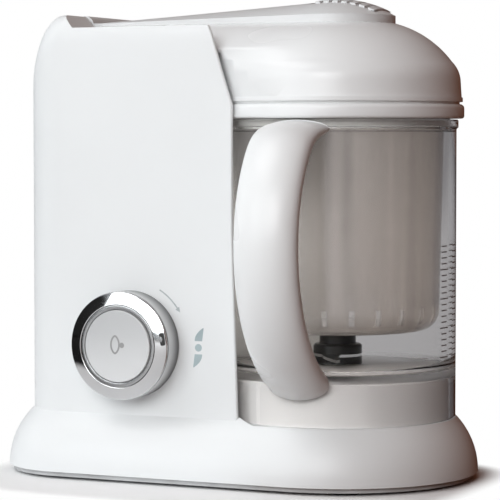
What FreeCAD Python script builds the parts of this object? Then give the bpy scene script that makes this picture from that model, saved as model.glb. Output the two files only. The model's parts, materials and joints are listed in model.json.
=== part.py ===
import FreeCAD, Part
import math
import os

V = FreeCAD.Vector

# A steam-and-blend baby food maker that stands on a table.
# Sizes are in millimetres. The pieces are drawn about the bowl axis, with +X to the right,
# -Y to the front and the table at zero, and then moved so that the origin is under the middle.

# Base and column
BASE_RADIUS = 74.0
BASE_HEIGHT = 32.37
BASE_CORNER = 44.0
FLARE_BOTTOM = 4.0
FLARE_ARC = 41.0
COLUMN_INSET = 13.5
COLUMN_DEPTH = 94.1
SHOULDER_REACH = 30.0
SHOULDER_RISE = 46.0
TOP_EDGE_ROUND = 9.0
HOUSING_WALL = 3.0
SEAT_LEDGE = 0.6
RECESS_GAP = 5.4
WING_CUT = 6.9
WING_WALL = 4.0
RECESS_LEAN = 0.175
RECESS_DRAFT = 1.5
RECESS_DRAFT_HEIGHT = 98.0
EAR_HEIGHT = 5.0
WING_DROP = 2.0
WING_EDGE_ROUND = 1.2
HINGE_BLOCK_WIDTH = 35.5
HINGE_BLOCK_DEPTH = 15.0

# Bottom cover and feet
COVER_INSET = 2.2
FOOT_HEIGHT = 1.5
FOOT_RADIUS = 8.0
FOOT_STEM = 4.0
FOOT_FROM_SIDE = 19.0
FOOT_FROM_LEFT = 47.0
FOOT_RIGHT = 26.0
COVER_LIP = 2.0
COVER_LIP_HEIGHT = 5.0
VENT_COUNT = 7
VENT_PITCH = 7.0
VENT_WIDTH = 3.0
VENT_LENGTH = 30.0

# Bowl and pedestal
BOWL_RADIUS = 62.0
BOWL_WALL = 3.0
BOWL_HEIGHT = 155.3
BOWL_FLOOR = 2.5
BOWL_FLOOR_ROUND = 7.0
BOWL_LIP = 1.0
BOWL_LIP_HEIGHT = 5.0
BASKET_LEDGE = 1.2
BASKET_LEDGE_DEPTH = 6.0
PEDESTAL_HEIGHT = 22.6
PEDESTAL_FLANGE = 8.0
PEDESTAL_WALL = 3.0
WELL_RADIUS = 17.0
WELL_DEPTH = 12.0
BUSH_BOSS = 9.0
BUSH_BOSS_DROP = 11.0

# Handle of the bowl
HANDLE_TURN = 3.0
HANDLE_WIDTH = 33.0
HANDLE_THICK = 18.5
HANDLE_END_THICK = 9.0
HANDLE_FOOT_THICK = 17.0
HANDLE_ARC = 70.6
HANDLE_LOW_ARC = 77.0
HANDLE_REACH = 43.4
HANDLE_MID = 93.0
HANDLE_TOP_DROP = 4.7
HANDLE_ARM_TILT = 10.0
HANDLE_BEND = 40.0
HANDLE_ARM = 13.5
HANDLE_KNEE = 13.0
ARM_GROWTH = 0.15
GRIP_STATIONS = 7

# Steam basket
BASKET_WALL = 1.8
BASKET_DRAFT = 2.0
BASKET_SIDE_GAP = 3.6
BASKET_FLOOR_ROUND = 10.5
BASKET_FLANGE = 1.8
BASKET_CLEAR = 2.0
BASKET_SLOTS = 24
BASKET_SLOT_WIDTH = 3.0
BASKET_SLOT_HEIGHT = 8.0
BASKET_HOLE = 2.0
BASKET_HOLE_PITCH = 12.0
BASKET_HOLE_RINGS = 3

# Lid
LID_RING_OVER = 4.0
LID_RING_PROUD = 1.9
LID_RING_HEIGHT = 7.5
LID_RING_WALL = 5.0
LID_GAP = 0.5
LID_WALL = 2.4
DOME_HEIGHT = 42.0
DOME_SIDE = 11.5
DOME_FOOT_HEIGHT = 1.2
DOME_FOOT_INSET = 0.5
DOME_LIP = 1.1
DOME_LIP_HEIGHT = 2.2
DOME_SHOULDER_IN = 4.5
DOME_SHOULDER_UP = 10.5
DOME_SHOULDER_BULGE = 1.1
DOME_BULGE = 3.06
NECK_DEPTH = 16.0
CHEEK_GAP = 3.3
INNER_PLATE = 2.5
INNER_PLATE_DROP = 5.0
STEAM_HOLE = 6.0
STEAM_SLOTS = 12
SEAL_WIDTH = 4.0

# Lid bar, hinge and latch
BAR_HALF = 30.0
BAR_SIDE = 4.0
BAR_CROWN = 8.0
BAR_TAIL_SIDE = 1.4
BAR_TAIL_CROWN = 1.9
HINGE_FROM_LEFT = 27.5
HINGE_LIFT = 0.5
KNUCKLE = 5.0
PIN_RADIUS = 2.5
PIN_INTO_EAR = 12.0
SLIDER_START = -8.0
SLIDER_LENGTH = 33.0
SLIDER_HALF = 12.0
SLIDER_PROUD = 0.9
SLIDER_DEEP = 6.0
SLIDER_TRAVEL = 4.0
SLIDER_RIB_PITCH = 5.0
SLIDER_RIB_GROOVE = 2.0
SLIDER_RIB_DEEP = 1.2
LATCH_STRIP_HALF = 4.0
LATCH_STRIP_THICK = 1.8
LATCH_STEM = 8.0
LATCH_SPRING_RADIUS = 1.6
LATCH_SPRING_LENGTH = 10.0
LATCH_SPRING_TURNS = 7

# Knob and button
KNOB_FROM_HOLLOW = 23.6
KNOB_Z = 71.5
KNOB_RADIUS = 28.0
KNOB_DEPTH = 16.0
KNOB_GAP = 0.6
KNOB_BEVEL = 2.0
KNOB_RIM = 3.0
BUTTON_RADIUS = 18.7
BUTTON_THICK = 4.0
BUTTON_TRAVEL = 2.5
BUTTON_STEM = 3.0
BUTTON_SPRING_TURNS = 3
BEZEL_WALL = 2.2
HUB_THICK = 4.0
HUB_LIFT = 2.0
HUB_TUBE = 6.0
SWITCH_SIZE = 30.0
SWITCH_DEPTH = 22.0
SPINDLE_INTO_SWITCH = 12.0

# Motor and drive
MOTOR_FROM_HOLLOW = 44.6
MOTOR_RADIUS = 26.0
MOTOR_HEIGHT = 58.0
MOTOR_WALL = 1.5
MOTOR_CAP = 4.0
MOTOR_SHAFT = 3.0
ARMATURE_RADIUS = 20.0
ARMATURE_GAP = 6.0
MOTOR_PULLEY = 10.0
DRIVE_PULLEY = 27.0
PULLEY_Z = 12.0
PULLEY_HEIGHT = 8.0
BELT_THICK = 1.8
BELT_WIDTH = 6.0
BELT_GAP = 0.3
BRACKET_Z = 27.0
BRACKET_THICK = 3.0
POST_RADIUS = 5.0
POST_SPREAD = 30.0
SPINDLE_RADIUS = 4.0
BUSH_WALL = 2.0
COUPLING_RADIUS = 8.0
COUPLING_HEIGHT = 8.0
SOCKET_RADIUS = 13.0

# Blade
HUB_RADIUS = 9.6
HUB_BASE_RADIUS = 12.8
HUB_BASE_HEIGHT = 1.4
HUB_COLLAR = 5.0
HUB_HEIGHT = 13.5
HUB_TOP_ROUND = 2.5
BLADE_SPAN = 42.0
BLADE_ROOT = 9.0
BLADE_TIP = 4.0
BLADE_THICK = 1.4
BLADE_TURN = -62.0
BOWL_BUSH_WALL = 4.0
BOWL_BUSH_FLANGE = 3.0
BOWL_BUSH_RISE = 1.5
BOWL_SEAL_THICK = 1.5

# Boiler and electrical pieces
BOILER_RADIUS = 31.0
BOILER_DEPTH = 67.0
BOILER_WALL = 1.5
BOILER_MOUTH = 16.5
BOILER_FLANGE = 35.0
GASKET_WALL = 4.5
GASKET_HEIGHT = 2.2
HEATER_RADIUS = 28.0
HEATER_HEIGHT = 8.0
THERMOSTAT_RADIUS = 8.0
THERMOSTAT_HEIGHT = 6.0
FUSE_RADIUS = 2.5
FUSE_LENGTH = 16.0
BOARD_WIDTH = 60.0
BOARD_HEIGHT = 50.0
BOARD_THICK = 1.6
BOARD_FROM_HOLLOW = 30.6
BOARD_Z = 82.0
STANDOFF = 6.0
STANDOFF_RADIUS = 3.0
INLET_FROM_HOLLOW = 52.6
INLET_LIFT = 13.6
INLET_RADIUS = 8.0
INLET_BORE = 3.5
INLET_LIP = 2.0
LID_SWITCH_LENGTH = 20.0
LID_SWITCH_THICK = 6.4
LID_SWITCH_HEIGHT = 10.0

# Screws, springs and shared clearances
COIL_STEPS = 10
COIL_SIDES = 8
SCREW_SHANK = 1.5
SCREW_HEAD = 3.0
SCREW_HEAD_HEIGHT = 2.0
SCREW_LENGTH = 12.0
BOSS_RADIUS = 4.5
SEAT_GAP = 0.3
RUN_GAP = 0.1
SLIDE_GAP = 0.4
SKIRT_GAP = 1.0
PART_GAP = 1.0
OVERCUT = 1.0

# Levels and places that follow from the sizes above
COVER_TOP = FLARE_BOTTOM
BASE_TOP = BASE_HEIGHT
BASE_FLARE_IN = BASE_RADIUS - BOWL_RADIUS - SEAT_LEDGE
FLARE_START = BASE_TOP - math.sqrt(FLARE_ARC ** 2 - (FLARE_ARC - BASE_FLARE_IN) ** 2)
COLUMN_FOOT = FLARE_START + math.sqrt(FLARE_ARC ** 2 - (FLARE_ARC - COLUMN_INSET) ** 2)
FLARE_TOP = max(COLUMN_FOOT, BASE_TOP)
COLUMN_FRONT = BASE_RADIUS - COLUMN_INSET
COLUMN_CORNER = BASE_CORNER - COLUMN_INSET
INNER_FRONT = COLUMN_FRONT - HOUSING_WALL
# The hollow clears the bowl and breaks through the column's front, which forms its wings
RECESS_RADIUS = max(BOWL_RADIUS + RECESS_GAP, COLUMN_FRONT + WING_CUT)
COLUMN_LEFT = RECESS_RADIUS + COLUMN_DEPTH
BASE_LEFT = COLUMN_LEFT + COLUMN_INSET
FOOT_LEFT = BASE_LEFT - FOOT_FROM_LEFT
FOOT_SPREAD = BASE_RADIUS - FOOT_FROM_SIDE
KNOB_X = -(RECESS_RADIUS + KNOB_FROM_HOLLOW)
MOTOR_X = -(RECESS_RADIUS + MOTOR_FROM_HOLLOW)
BOARD_X = -(RECESS_RADIUS + BOARD_FROM_HOLLOW)
INLET_X = -(RECESS_RADIUS + INLET_FROM_HOLLOW)
INLET_Z = COLUMN_FOOT + INLET_LIFT

PEDESTAL_RADIUS = BOWL_RADIUS - BOWL_WALL - SKIRT_GAP
PEDESTAL_TOP = BASE_TOP + PEDESTAL_HEIGHT
PEDESTAL_OPENING = PEDESTAL_RADIUS - PEDESTAL_FLANGE
WELL_FLOOR = PEDESTAL_TOP - WELL_DEPTH
BOWL_BOTTOM = BASE_TOP + SEAT_GAP
BOWL_RIM = BOWL_BOTTOM + BOWL_HEIGHT
BOWL_UNDER = PEDESTAL_TOP + PART_GAP
BOWL_FLOOR_TOP = BOWL_UNDER + BOWL_FLOOR
BOWL_INSIDE = BOWL_RADIUS - BOWL_WALL
BOWL_LIP_RADIUS = BOWL_RADIUS + BOWL_LIP
LEDGE_Z = BOWL_RIM - BASKET_LEDGE_DEPTH
LEDGE_RADIUS = BOWL_INSIDE + BASKET_LEDGE

LID_RING_Z = BOWL_RIM + LID_GAP
LID_RING_TOP = LID_RING_Z + LID_RING_HEIGHT
LID_RING_RADIUS = BOWL_RADIUS + LID_RING_OVER
LID_RING_INSIDE = LID_RING_RADIUS - LID_RING_WALL
DOME_RADIUS = LID_RING_RADIUS - LID_RING_PROUD
NECK_HALF = COLUMN_FRONT - WING_WALL - 2 * PART_GAP
CHANNEL_HALF = COLUMN_FRONT - WING_WALL
DOME_TOP = LID_RING_TOP + DOME_HEIGHT
NECK_BOTTOM = DOME_TOP - NECK_DEPTH
DECK = NECK_BOTTOM - GASKET_HEIGHT - SEAT_GAP
DECK_UNDER = DECK - HOUSING_WALL
WING_TOP = DOME_TOP - WING_DROP
COLUMN_TOP = DOME_TOP + EAR_HEIGHT
HINGE_X = -(COLUMN_LEFT - HINGE_FROM_LEFT)
HINGE_Z = DOME_TOP + HINGE_LIFT
BLOCK_RIGHT = -(COLUMN_LEFT - HINGE_BLOCK_WIDTH)
NECK_LEFT = BLOCK_RIGHT + 2 * PART_GAP
BOILER_X = 2 * PART_GAP - RECESS_RADIUS - COLUMN_DEPTH / 2
MOUTH_X = BOILER_X + BOILER_RADIUS - BOILER_WALL - BOILER_MOUTH - PART_GAP

BLADE_BASE = BOWL_FLOOR_TOP + BOWL_SEAL_THICK + BOWL_BUSH_RISE + PART_GAP
BLADE_Z = BLADE_BASE + HUB_BASE_HEIGHT
HUB_TOP = BLADE_BASE + HUB_HEIGHT
BASKET_BOTTOM = HUB_TOP + BASKET_CLEAR
COUPLING_BASE = WELL_FLOOR + PART_GAP
COUPLING_TOP = COUPLING_BASE + COUPLING_HEIGHT
SOCKET_BOTTOM = COUPLING_BASE + 1.5 * PART_GAP
SOCKET_TOP = PEDESTAL_TOP - PART_GAP / 2
BUSH_RADIUS = SPINDLE_RADIUS + RUN_GAP + BUSH_WALL
BOWL_BUSH_BARREL = SPINDLE_RADIUS + RUN_GAP + BOWL_BUSH_WALL
BOWL_BUSH_OUT = BOWL_BUSH_BARREL + BOWL_BUSH_FLANGE
LOWER_BOSS_TOP = PULLEY_Z - 2 * PART_GAP
PULLEY_HUB = 2 * SPINDLE_RADIUS


def block(x0, x1, y0, y1, z0, z1):
    return Part.makeBox(x1 - x0, y1 - y0, z1 - z0, V(x0, y0, z0))


def post(radius, z0, z1, x=0.0, y=0.0):
    return Part.makeCylinder(radius, z1 - z0, V(x, y, z0))


def rod_y(radius, y0, y1, x, z):
    return Part.makeCylinder(radius, y1 - y0, V(x, y0, z), V(0, 1, 0))


def rod_x(radius, x0, x1, y, z):
    return Part.makeCylinder(radius, x1 - x0, V(x0, y, z), V(1, 0, 0))


def ring(outer, inner, z0, z1, x=0.0, y=0.0):
    return post(outer, z0, z1, x, y).cut(post(inner, z0, z1, x, y))


def on_lathe(a, b):
    return V(a, 0, b)


def on_end(a, b):
    return V(0, a, b)


def outline(start, steps, place):
    """A closed wire of lines to (a, b) and of arcs through ((a, b), (a, b))."""
    edges = []
    at = start
    for step in steps + [start]:
        if isinstance(step[0], tuple):
            edges.append(Part.Arc(place(*at), place(*step[0]), place(*step[1])).toShape())
            at = step[1]
        elif step != at:
            edges.append(Part.LineSegment(place(*at), place(*step)).toShape())
            at = step
    return Part.Wire(edges)


def bulge(p, q, rise):
    """The middle of an arc from p to q that stands off its chord by rise, on the right-hand side."""
    span = math.hypot(q[0] - p[0], q[1] - p[1])
    across = ((q[1] - p[1]) / span, -(q[0] - p[0]) / span)
    return ((p[0] + q[0]) / 2 + rise * across[0], (p[1] + q[1]) / 2 + rise * across[1])


def lathe(start, steps):
    face = Part.Face(outline(start, steps, on_lathe))
    return face.revolve(V(0, 0, 0), V(0, 0, 1), 360)


def turned(count, shape, start=0.0):
    """Copies of a shape spread evenly round the bowl axis."""
    copies = []
    for index in range(count):
        copy = shape.copy()
        copy.rotate(V(0, 0, 0), V(0, 0, 1), start + 360.0 * index / count)
        copies.append(copy)
    return copies


def hexagon(radius, z0, z1):
    corners = [V(radius * math.cos(math.radians(60 * i)), radius * math.sin(math.radians(60 * i)), z0)
               for i in range(7)]
    return Part.Face(Part.makePolygon(corners)).extrude(V(0, 0, z1 - z0))


def coil(radius, wire, length, turns):
    """A spring that stands on the origin along +Z, wound from a many-sided wire."""
    count = turns * COIL_STEPS
    sections = []
    for index in range(count + 1):
        at = 2 * math.pi * index / COIL_STEPS
        out = V(math.cos(at), math.sin(at), 0)
        middle = out * radius + V(0, 0, length * index / count)
        corners = []
        for side in range(COIL_SIDES + 1):
            turn = 2 * math.pi * side / COIL_SIDES
            corners.append(middle + out * (wire * math.cos(turn)) + V(0, 0, wire * math.sin(turn)))
        sections.append(Part.makePolygon(corners))
    return Part.makeLoft(sections, True, True)


def bullet(inset, z0, z1):
    """The base outline, round at the bowl end, drawn in by inset and raised from z0 to z1."""
    radius = BASE_RADIUS - inset
    left = -(BASE_LEFT - inset)
    corner = BASE_CORNER - inset
    cut = corner * (1 - math.sqrt(0.5))
    steps = [((radius, 0.0), (0.0, radius)),
             (left + corner, radius),
             ((left + cut, radius - cut), (left, radius - corner)),
             (left, corner - radius),
             ((left + cut, cut - radius), (left + corner, -radius))]
    wire = outline((0.0, -radius), steps, lambda a, b: V(a, b, z0))
    return Part.Face(wire).extrude(V(0, 0, z1 - z0))


def flare(inset, top):
    """The flared base, an arc that starts upright and ends at the bowl's seat."""
    arc = FLARE_ARC - inset
    prism = bullet(inset, -FLARE_ARC, FLARE_START + arc)
    edges = [e for e in prism.Edges if e.BoundBox.ZMin > FLARE_START]
    reach = BASE_LEFT + BASE_RADIUS
    return prism.makeFillet(arc, edges).common(block(-reach, reach, -reach, reach, FLARE_BOTTOM, top))


def column():
    """The column, with an elliptical shoulder on its left that runs out along the front and back."""
    squeeze = SHOULDER_REACH / SHOULDER_RISE
    height = COLUMN_TOP * squeeze
    front = COLUMN_FRONT
    left = -COLUMN_LEFT
    corner = COLUMN_CORNER
    cut = corner * (1 - math.sqrt(0.5))
    steps = [(left + corner, front),
             ((left + cut, front - cut), (left, front - corner)),
             (left, corner - front),
             ((left + cut, cut - front), (left + corner, -front)),
             (0.0, -front)]
    wire = outline((0.0, front), steps, lambda a, b: V(a, b, 0))
    document = FreeCAD.newDocument("column")
    base = document.addObject("Part::Feature", "base")
    base.Shape = Part.Face(wire).extrude(V(0, 0, height))
    rounded = document.addObject("Part::Fillet", "rounded")
    rounded.Base = base
    radii = []
    for index, edge in enumerate(base.Shape.Edges, 1):
        if edge.BoundBox.ZMin > height / 2 and edge.BoundBox.XMin < left / 2:
            ends = [SHOULDER_REACH if vertex.X < left + corner / 2 else TOP_EDGE_ROUND
                    for vertex in edge.Vertexes]
            radii.append((index, ends[0], ends[1]))
    rounded.Edges = radii
    document.recompute()
    stretch = FreeCAD.Matrix()
    stretch.scale(1, 1, 1 / squeeze)
    solid = rounded.Shape.transformGeometry(stretch).Solids[0]
    FreeCAD.closeDocument(document.Name)
    reach = 2 * COLUMN_TOP
    return solid.common(block(-reach, reach, -reach, reach, FLARE_BOTTOM, COLUMN_TOP))


def recess(extra, z0):
    """The hollow that the bowl and lid stand in, drawn in towards its foot and leaning out beside the lid."""
    radius = RECESS_RADIUS + extra
    draft_z = BASE_TOP + RECESS_DRAFT_HEIGHT
    lean_z = LID_RING_TOP - PART_GAP
    top = COLUMN_TOP + HOUSING_WALL
    steps = [(radius + RECESS_LEAN * (top - lean_z), top), (0.0, top)]
    if z0 > lean_z:
        return lathe((0.0, z0), [(radius + RECESS_LEAN * (z0 - lean_z), z0)] + steps)
    foot = radius - RECESS_DRAFT * (draft_z - z0) / RECESS_DRAFT_HEIGHT
    return lathe((0.0, z0), [(foot, z0), (radius, draft_z), (radius, lean_z)] + steps)


def cover_screw_spots():
    """Two spots in the corners of the column and two beside the pedestal."""
    inside = (COLUMN_CORNER - HOUSING_WALL - BOSS_RADIUS + PART_GAP) * math.sqrt(0.5)
    corner_x = -(COLUMN_LEFT - COLUMN_CORNER) - inside
    corner_y = COLUMN_FRONT - COLUMN_CORNER + inside
    beside = (PEDESTAL_OPENING + BOSS_RADIUS + PART_GAP) * math.sqrt(0.5)
    return [(corner_x, corner_y), (corner_x, -corner_y), (beside, beside), (beside, -beside)]


def board_screw_spots():
    half = BOARD_WIDTH / 2 - STANDOFF_RADIUS - PART_GAP
    low = BOARD_Z + STANDOFF_RADIUS + PART_GAP
    high = BOARD_Z + BOARD_HEIGHT - STANDOFF_RADIUS - PART_GAP
    return [(BOARD_X + side * half, z) for side in (-1, 1) for z in (low, high)]


def boiler_screw_spots():
    ring_radius = (BOILER_RADIUS + BOILER_FLANGE) / 2
    return [(BOILER_X + ring_radius * math.cos(math.radians(a)), ring_radius * math.sin(math.radians(a)))
            for a in (90, 210, 330)]


def round_wings(shell):
    """Round the upright front and back edges where the column's walls meet the bowl's hollow."""
    edges = []
    for edge in shell.Edges:
        middle = edge.valueAt((edge.FirstParameter + edge.LastParameter) / 2)
        on_face = abs(abs(middle.y) - COLUMN_FRONT) < PART_GAP
        on_hollow = math.hypot(middle.x, middle.y) > RECESS_RADIUS - RECESS_DRAFT
        if on_face and on_hollow and middle.x > -RECESS_RADIUS and middle.z > COLUMN_FOOT:
            edges.append(edge)
    return shell.makeFillet(WING_EDGE_ROUND, edges)


def make_housing():
    reach = BASE_LEFT + BASE_RADIUS
    high = COLUMN_TOP + OVERCUT
    shell = flare(0.0, FLARE_TOP).fuse(column())
    shell = round_wings(shell.cut(recess(0.0, BASE_TOP)))
    shell = shell.cut(block(BLOCK_RIGHT, 0, -CHANNEL_HALF, CHANNEL_HALF, DECK_UNDER, high))
    # The walls beside the lid stop below the bar, with a slanted end at each hinge ear
    slope = high - WING_TOP
    above = outline((BLOCK_RIGHT, WING_TOP),
                    [(0.0, WING_TOP), (0.0, high), (BLOCK_RIGHT - slope, high)], on_lathe)
    shell = shell.cut(Part.Face(above).extrude(V(0, 2 * reach, 0)).translated(V(0, -reach, 0)))
    pocket = BAR_HALF + PART_GAP
    deep = HINGE_Z - KNUCKLE - 1.5 * PART_GAP
    shell = shell.cut(block(HINGE_X - KNUCKLE - 3 * PART_GAP, BLOCK_RIGHT, -pocket, pocket, deep, high))
    # The hollow inside, left solid round the hinge
    inside = flare(HOUSING_WALL, FLARE_TOP)
    inside = inside.cut(post(RECESS_RADIUS + HOUSING_WALL, BASE_TOP - HOUSING_WALL, COLUMN_TOP))
    tall = bullet(COLUMN_INSET + HOUSING_WALL, COLUMN_FOOT - HOUSING_WALL, DECK_UNDER)
    shoulder_z = COLUMN_TOP - SHOULDER_RISE
    shoulder_x = -COLUMN_LEFT + SHOULDER_REACH / 4
    tall = tall.cut(block(-reach, shoulder_x, -reach, reach, shoulder_z, COLUMN_TOP))
    tall = tall.cut(recess(HOUSING_WALL, FLARE_BOTTOM))
    shell = shell.cut(inside.fuse(tall))
    shell = shell.cut(post(PEDESTAL_OPENING, BASE_TOP - 2 * HOUSING_WALL, BASE_TOP + OVERCUT))
    # Bosses for the bottom cover and stand-offs for the control board
    spots = cover_screw_spots()
    for index, (x, y) in enumerate(spots):
        top = COLUMN_FOOT + SCREW_LENGTH if index < 2 else BASE_TOP - HOUSING_WALL
        shell = shell.fuse(post(BOSS_RADIUS, FLARE_BOTTOM, top, x, y))
    for x, y in spots:
        shell = shell.cut(post(SCREW_SHANK, FLARE_BOTTOM, FLARE_BOTTOM + SCREW_LENGTH, x, y))
    for x, z in board_screw_spots():
        shell = shell.fuse(rod_y(STANDOFF_RADIUS, INNER_FRONT - STANDOFF, INNER_FRONT + PART_GAP, x, z))
    for x, z in board_screw_spots():
        shell = shell.cut(rod_y(SCREW_SHANK, INNER_FRONT - STANDOFF, INNER_FRONT, x, z))
    # Holes for the knob, the cord inlet, the boiler's and pedestal's screws and the hinge pin
    front = -COLUMN_FRONT - OVERCUT
    shell = shell.cut(rod_y(HUB_TUBE + SLIDE_GAP, front, -INNER_FRONT + OVERCUT, KNOB_X, KNOB_Z))
    shell = shell.cut(rod_y(INLET_RADIUS, INNER_FRONT - OVERCUT, -front, INLET_X, INLET_Z))
    for x, y in boiler_screw_spots():
        shell = shell.cut(post(SCREW_SHANK, DECK_UNDER, DECK - PART_GAP, x, y))
    for hole in turned(4, post(SCREW_SHANK, BASE_TOP - HOUSING_WALL, BASE_TOP, pedestal_screw_radius())):
        shell = shell.cut(hole)
    pin = pocket + PIN_INTO_EAR
    shell = shell.cut(rod_y(PIN_RADIUS, -pin, pin, HINGE_X, HINGE_Z))
    return shell


def make_deck_plate():
    """The floor between the wings, over the boiler, that rests on the wall of the bowl's hollow."""
    plate = block(BLOCK_RIGHT, 0, -CHANNEL_HALF, CHANNEL_HALF, DECK_UNDER, DECK)
    plate = plate.cut(recess(0.0, BASE_TOP))
    plate = plate.cut(post(BOILER_MOUTH, DECK_UNDER, DECK, MOUTH_X))
    for x, y in boiler_screw_spots():
        plate = plate.cut(post(SCREW_SHANK, DECK_UNDER, DECK - PART_GAP, x, y))
    return plate


def pedestal_screw_radius():
    return (PEDESTAL_OPENING + PEDESTAL_RADIUS - PEDESTAL_WALL) / 2


def make_bowl_pedestal():
    inside = PEDESTAL_RADIUS - PEDESTAL_WALL
    roof = PEDESTAL_TOP - PEDESTAL_WALL
    well_out = WELL_RADIUS + PEDESTAL_WALL
    boss_bottom = WELL_FLOOR - BUSH_BOSS_DROP
    flange_top = BASE_TOP + PEDESTAL_WALL
    edge = PEDESTAL_WALL / 2
    body = lathe((BUSH_RADIUS, boss_bottom),
                 [(BUSH_BOSS, boss_bottom), (BUSH_BOSS, WELL_FLOOR - PEDESTAL_WALL),
                  (well_out, WELL_FLOOR - PEDESTAL_WALL), (well_out, roof), (inside, roof),
                  (inside, flange_top), (PEDESTAL_OPENING, flange_top), (PEDESTAL_OPENING, BASE_TOP),
                  (PEDESTAL_RADIUS, BASE_TOP),
                  (PEDESTAL_RADIUS, PEDESTAL_TOP - edge),
                  (bulge((PEDESTAL_RADIUS, PEDESTAL_TOP - edge), (PEDESTAL_RADIUS - edge, PEDESTAL_TOP),
                         edge * (1 - math.sqrt(0.5))), (PEDESTAL_RADIUS - edge, PEDESTAL_TOP)),
                  (WELL_RADIUS, PEDESTAL_TOP), (WELL_RADIUS, WELL_FLOOR), (BUSH_RADIUS, WELL_FLOOR)])
    for hole in turned(4, post(SCREW_SHANK, BASE_TOP, flange_top, pedestal_screw_radius())):
        body = body.cut(hole)
    return body


def screw_up(z_seat, length, x, y):
    """A screw driven upwards, with its head below z_seat."""
    return post(SCREW_HEAD, z_seat - SCREW_HEAD_HEIGHT, z_seat, x, y).fuse(
        post(SCREW_SHANK, z_seat, z_seat + length, x, y))


def make_pedestal_screws():
    screw = screw_up(BASE_TOP - HOUSING_WALL, HOUSING_WALL + PEDESTAL_WALL, pedestal_screw_radius(), 0.0)
    return Part.makeCompound(turned(4, screw))


def bracket_spots():
    return [(MOTOR_X + i * POST_SPREAD, j * POST_SPREAD) for i in (-1, 1) for j in (-1, 1)]


def foot_spots():
    return [(x, y) for x in (-FOOT_LEFT, FOOT_RIGHT) for y in (-FOOT_SPREAD, FOOT_SPREAD)]


def make_bottom_cover():
    plate = bullet(COVER_INSET, FOOT_HEIGHT, COVER_TOP)
    lip_top = COVER_TOP + COVER_LIP_HEIGHT
    lip_out = flare(HOUSING_WALL + SLIDE_GAP, lip_top)
    lip_in = flare(HOUSING_WALL + SLIDE_GAP + COVER_LIP, lip_top)
    cover = plate.fuse(lip_out.cut(lip_in))
    cover = cover.fuse(post(BUSH_BOSS, COVER_TOP, LOWER_BOSS_TOP))
    cover = cover.cut(post(BUSH_RADIUS, COVER_TOP, LOWER_BOSS_TOP))
    for x, y in bracket_spots():
        cover = cover.fuse(post(POST_RADIUS, COVER_TOP, BRACKET_Z, x, y))
    for x, y in bracket_spots():
        cover = cover.cut(post(SCREW_SHANK, BRACKET_Z - SCREW_LENGTH, BRACKET_Z, x, y))
    for x, y in foot_spots():
        cover = cover.cut(post(FOOT_STEM, FOOT_HEIGHT, COVER_TOP, x, y))
    for x, y in cover_screw_spots():
        cover = cover.cut(post(SCREW_SHANK, FOOT_HEIGHT, COVER_TOP, x, y))
        cover = cover.cut(post(SCREW_HEAD + SLIDE_GAP, FOOT_HEIGHT, COVER_TOP - PART_GAP, x, y))
    first = MOTOR_X - VENT_PITCH * (VENT_COUNT - 1) / 2
    for index in range(VENT_COUNT):
        x = first + VENT_PITCH * index
        slot = block(x - VENT_WIDTH / 2, x + VENT_WIDTH / 2, -VENT_LENGTH / 2, VENT_LENGTH / 2,
                     FOOT_HEIGHT, COVER_TOP)
        cover = cover.cut(slot)
    return cover


def make_rubber_feet():
    feet = []
    for x, y in foot_spots():
        foot = post(FOOT_RADIUS, 0.0, FOOT_HEIGHT, x, y)
        feet.append(foot.fuse(post(FOOT_STEM, FOOT_HEIGHT, COVER_TOP, x, y)))
    return Part.makeCompound(feet)


def make_cover_screws():
    seat = COVER_TOP - PART_GAP
    screws = []
    for x, y in cover_screw_spots():
        head = post(SCREW_HEAD, seat - PART_GAP, seat, x, y)
        screws.append(head.fuse(post(SCREW_SHANK, seat, FLARE_BOTTOM + SCREW_LENGTH - PART_GAP, x, y)))
    return Part.makeCompound(screws)


MOTOR_BOTTOM = BRACKET_Z + BRACKET_THICK
MOTOR_TOP = MOTOR_BOTTOM + MOTOR_HEIGHT
MOTOR_SCREW_OUT = (MOTOR_SHAFT + ARMATURE_RADIUS) / 2 + MOTOR_SHAFT


def make_motor_bracket():
    half = POST_SPREAD + POST_RADIUS
    plate = block(MOTOR_X - half, MOTOR_X + half, -half, half, BRACKET_Z, MOTOR_BOTTOM)
    plate = plate.cut(post(2 * MOTOR_SHAFT, BRACKET_Z, MOTOR_BOTTOM, MOTOR_X))
    for x, y in bracket_spots():
        plate = plate.cut(post(SCREW_SHANK, BRACKET_Z, MOTOR_BOTTOM, x, y))
    for side in (-1, 1):
        plate = plate.cut(post(SCREW_SHANK, BRACKET_Z, MOTOR_BOTTOM, MOTOR_X, side * MOTOR_SCREW_OUT))
    return plate


def make_bracket_screws():
    screws = []
    for x, y in bracket_spots():
        head = post(SCREW_HEAD, MOTOR_BOTTOM, MOTOR_BOTTOM + SCREW_HEAD_HEIGHT, x, y)
        screws.append(head.fuse(post(SCREW_SHANK, BRACKET_Z - SCREW_LENGTH + PART_GAP, MOTOR_BOTTOM, x, y)))
    return Part.makeCompound(screws)


def make_motor_screws():
    length = BRACKET_THICK + MOTOR_WALL
    return Part.makeCompound([screw_up(BRACKET_Z, length, MOTOR_X, side * MOTOR_SCREW_OUT)
                              for side in (-1, 1)])


def make_motor_can():
    can = post(MOTOR_RADIUS, MOTOR_BOTTOM, MOTOR_TOP, MOTOR_X)
    can = can.cut(post(MOTOR_RADIUS - MOTOR_WALL, MOTOR_BOTTOM + MOTOR_WALL, MOTOR_TOP, MOTOR_X))
    can = can.cut(post(MOTOR_SHAFT + RUN_GAP, MOTOR_BOTTOM, MOTOR_TOP, MOTOR_X))
    for side in (-1, 1):
        can = can.cut(post(SCREW_SHANK, MOTOR_BOTTOM, MOTOR_BOTTOM + MOTOR_WALL,
                           MOTOR_X, side * MOTOR_SCREW_OUT))
    return can


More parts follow.
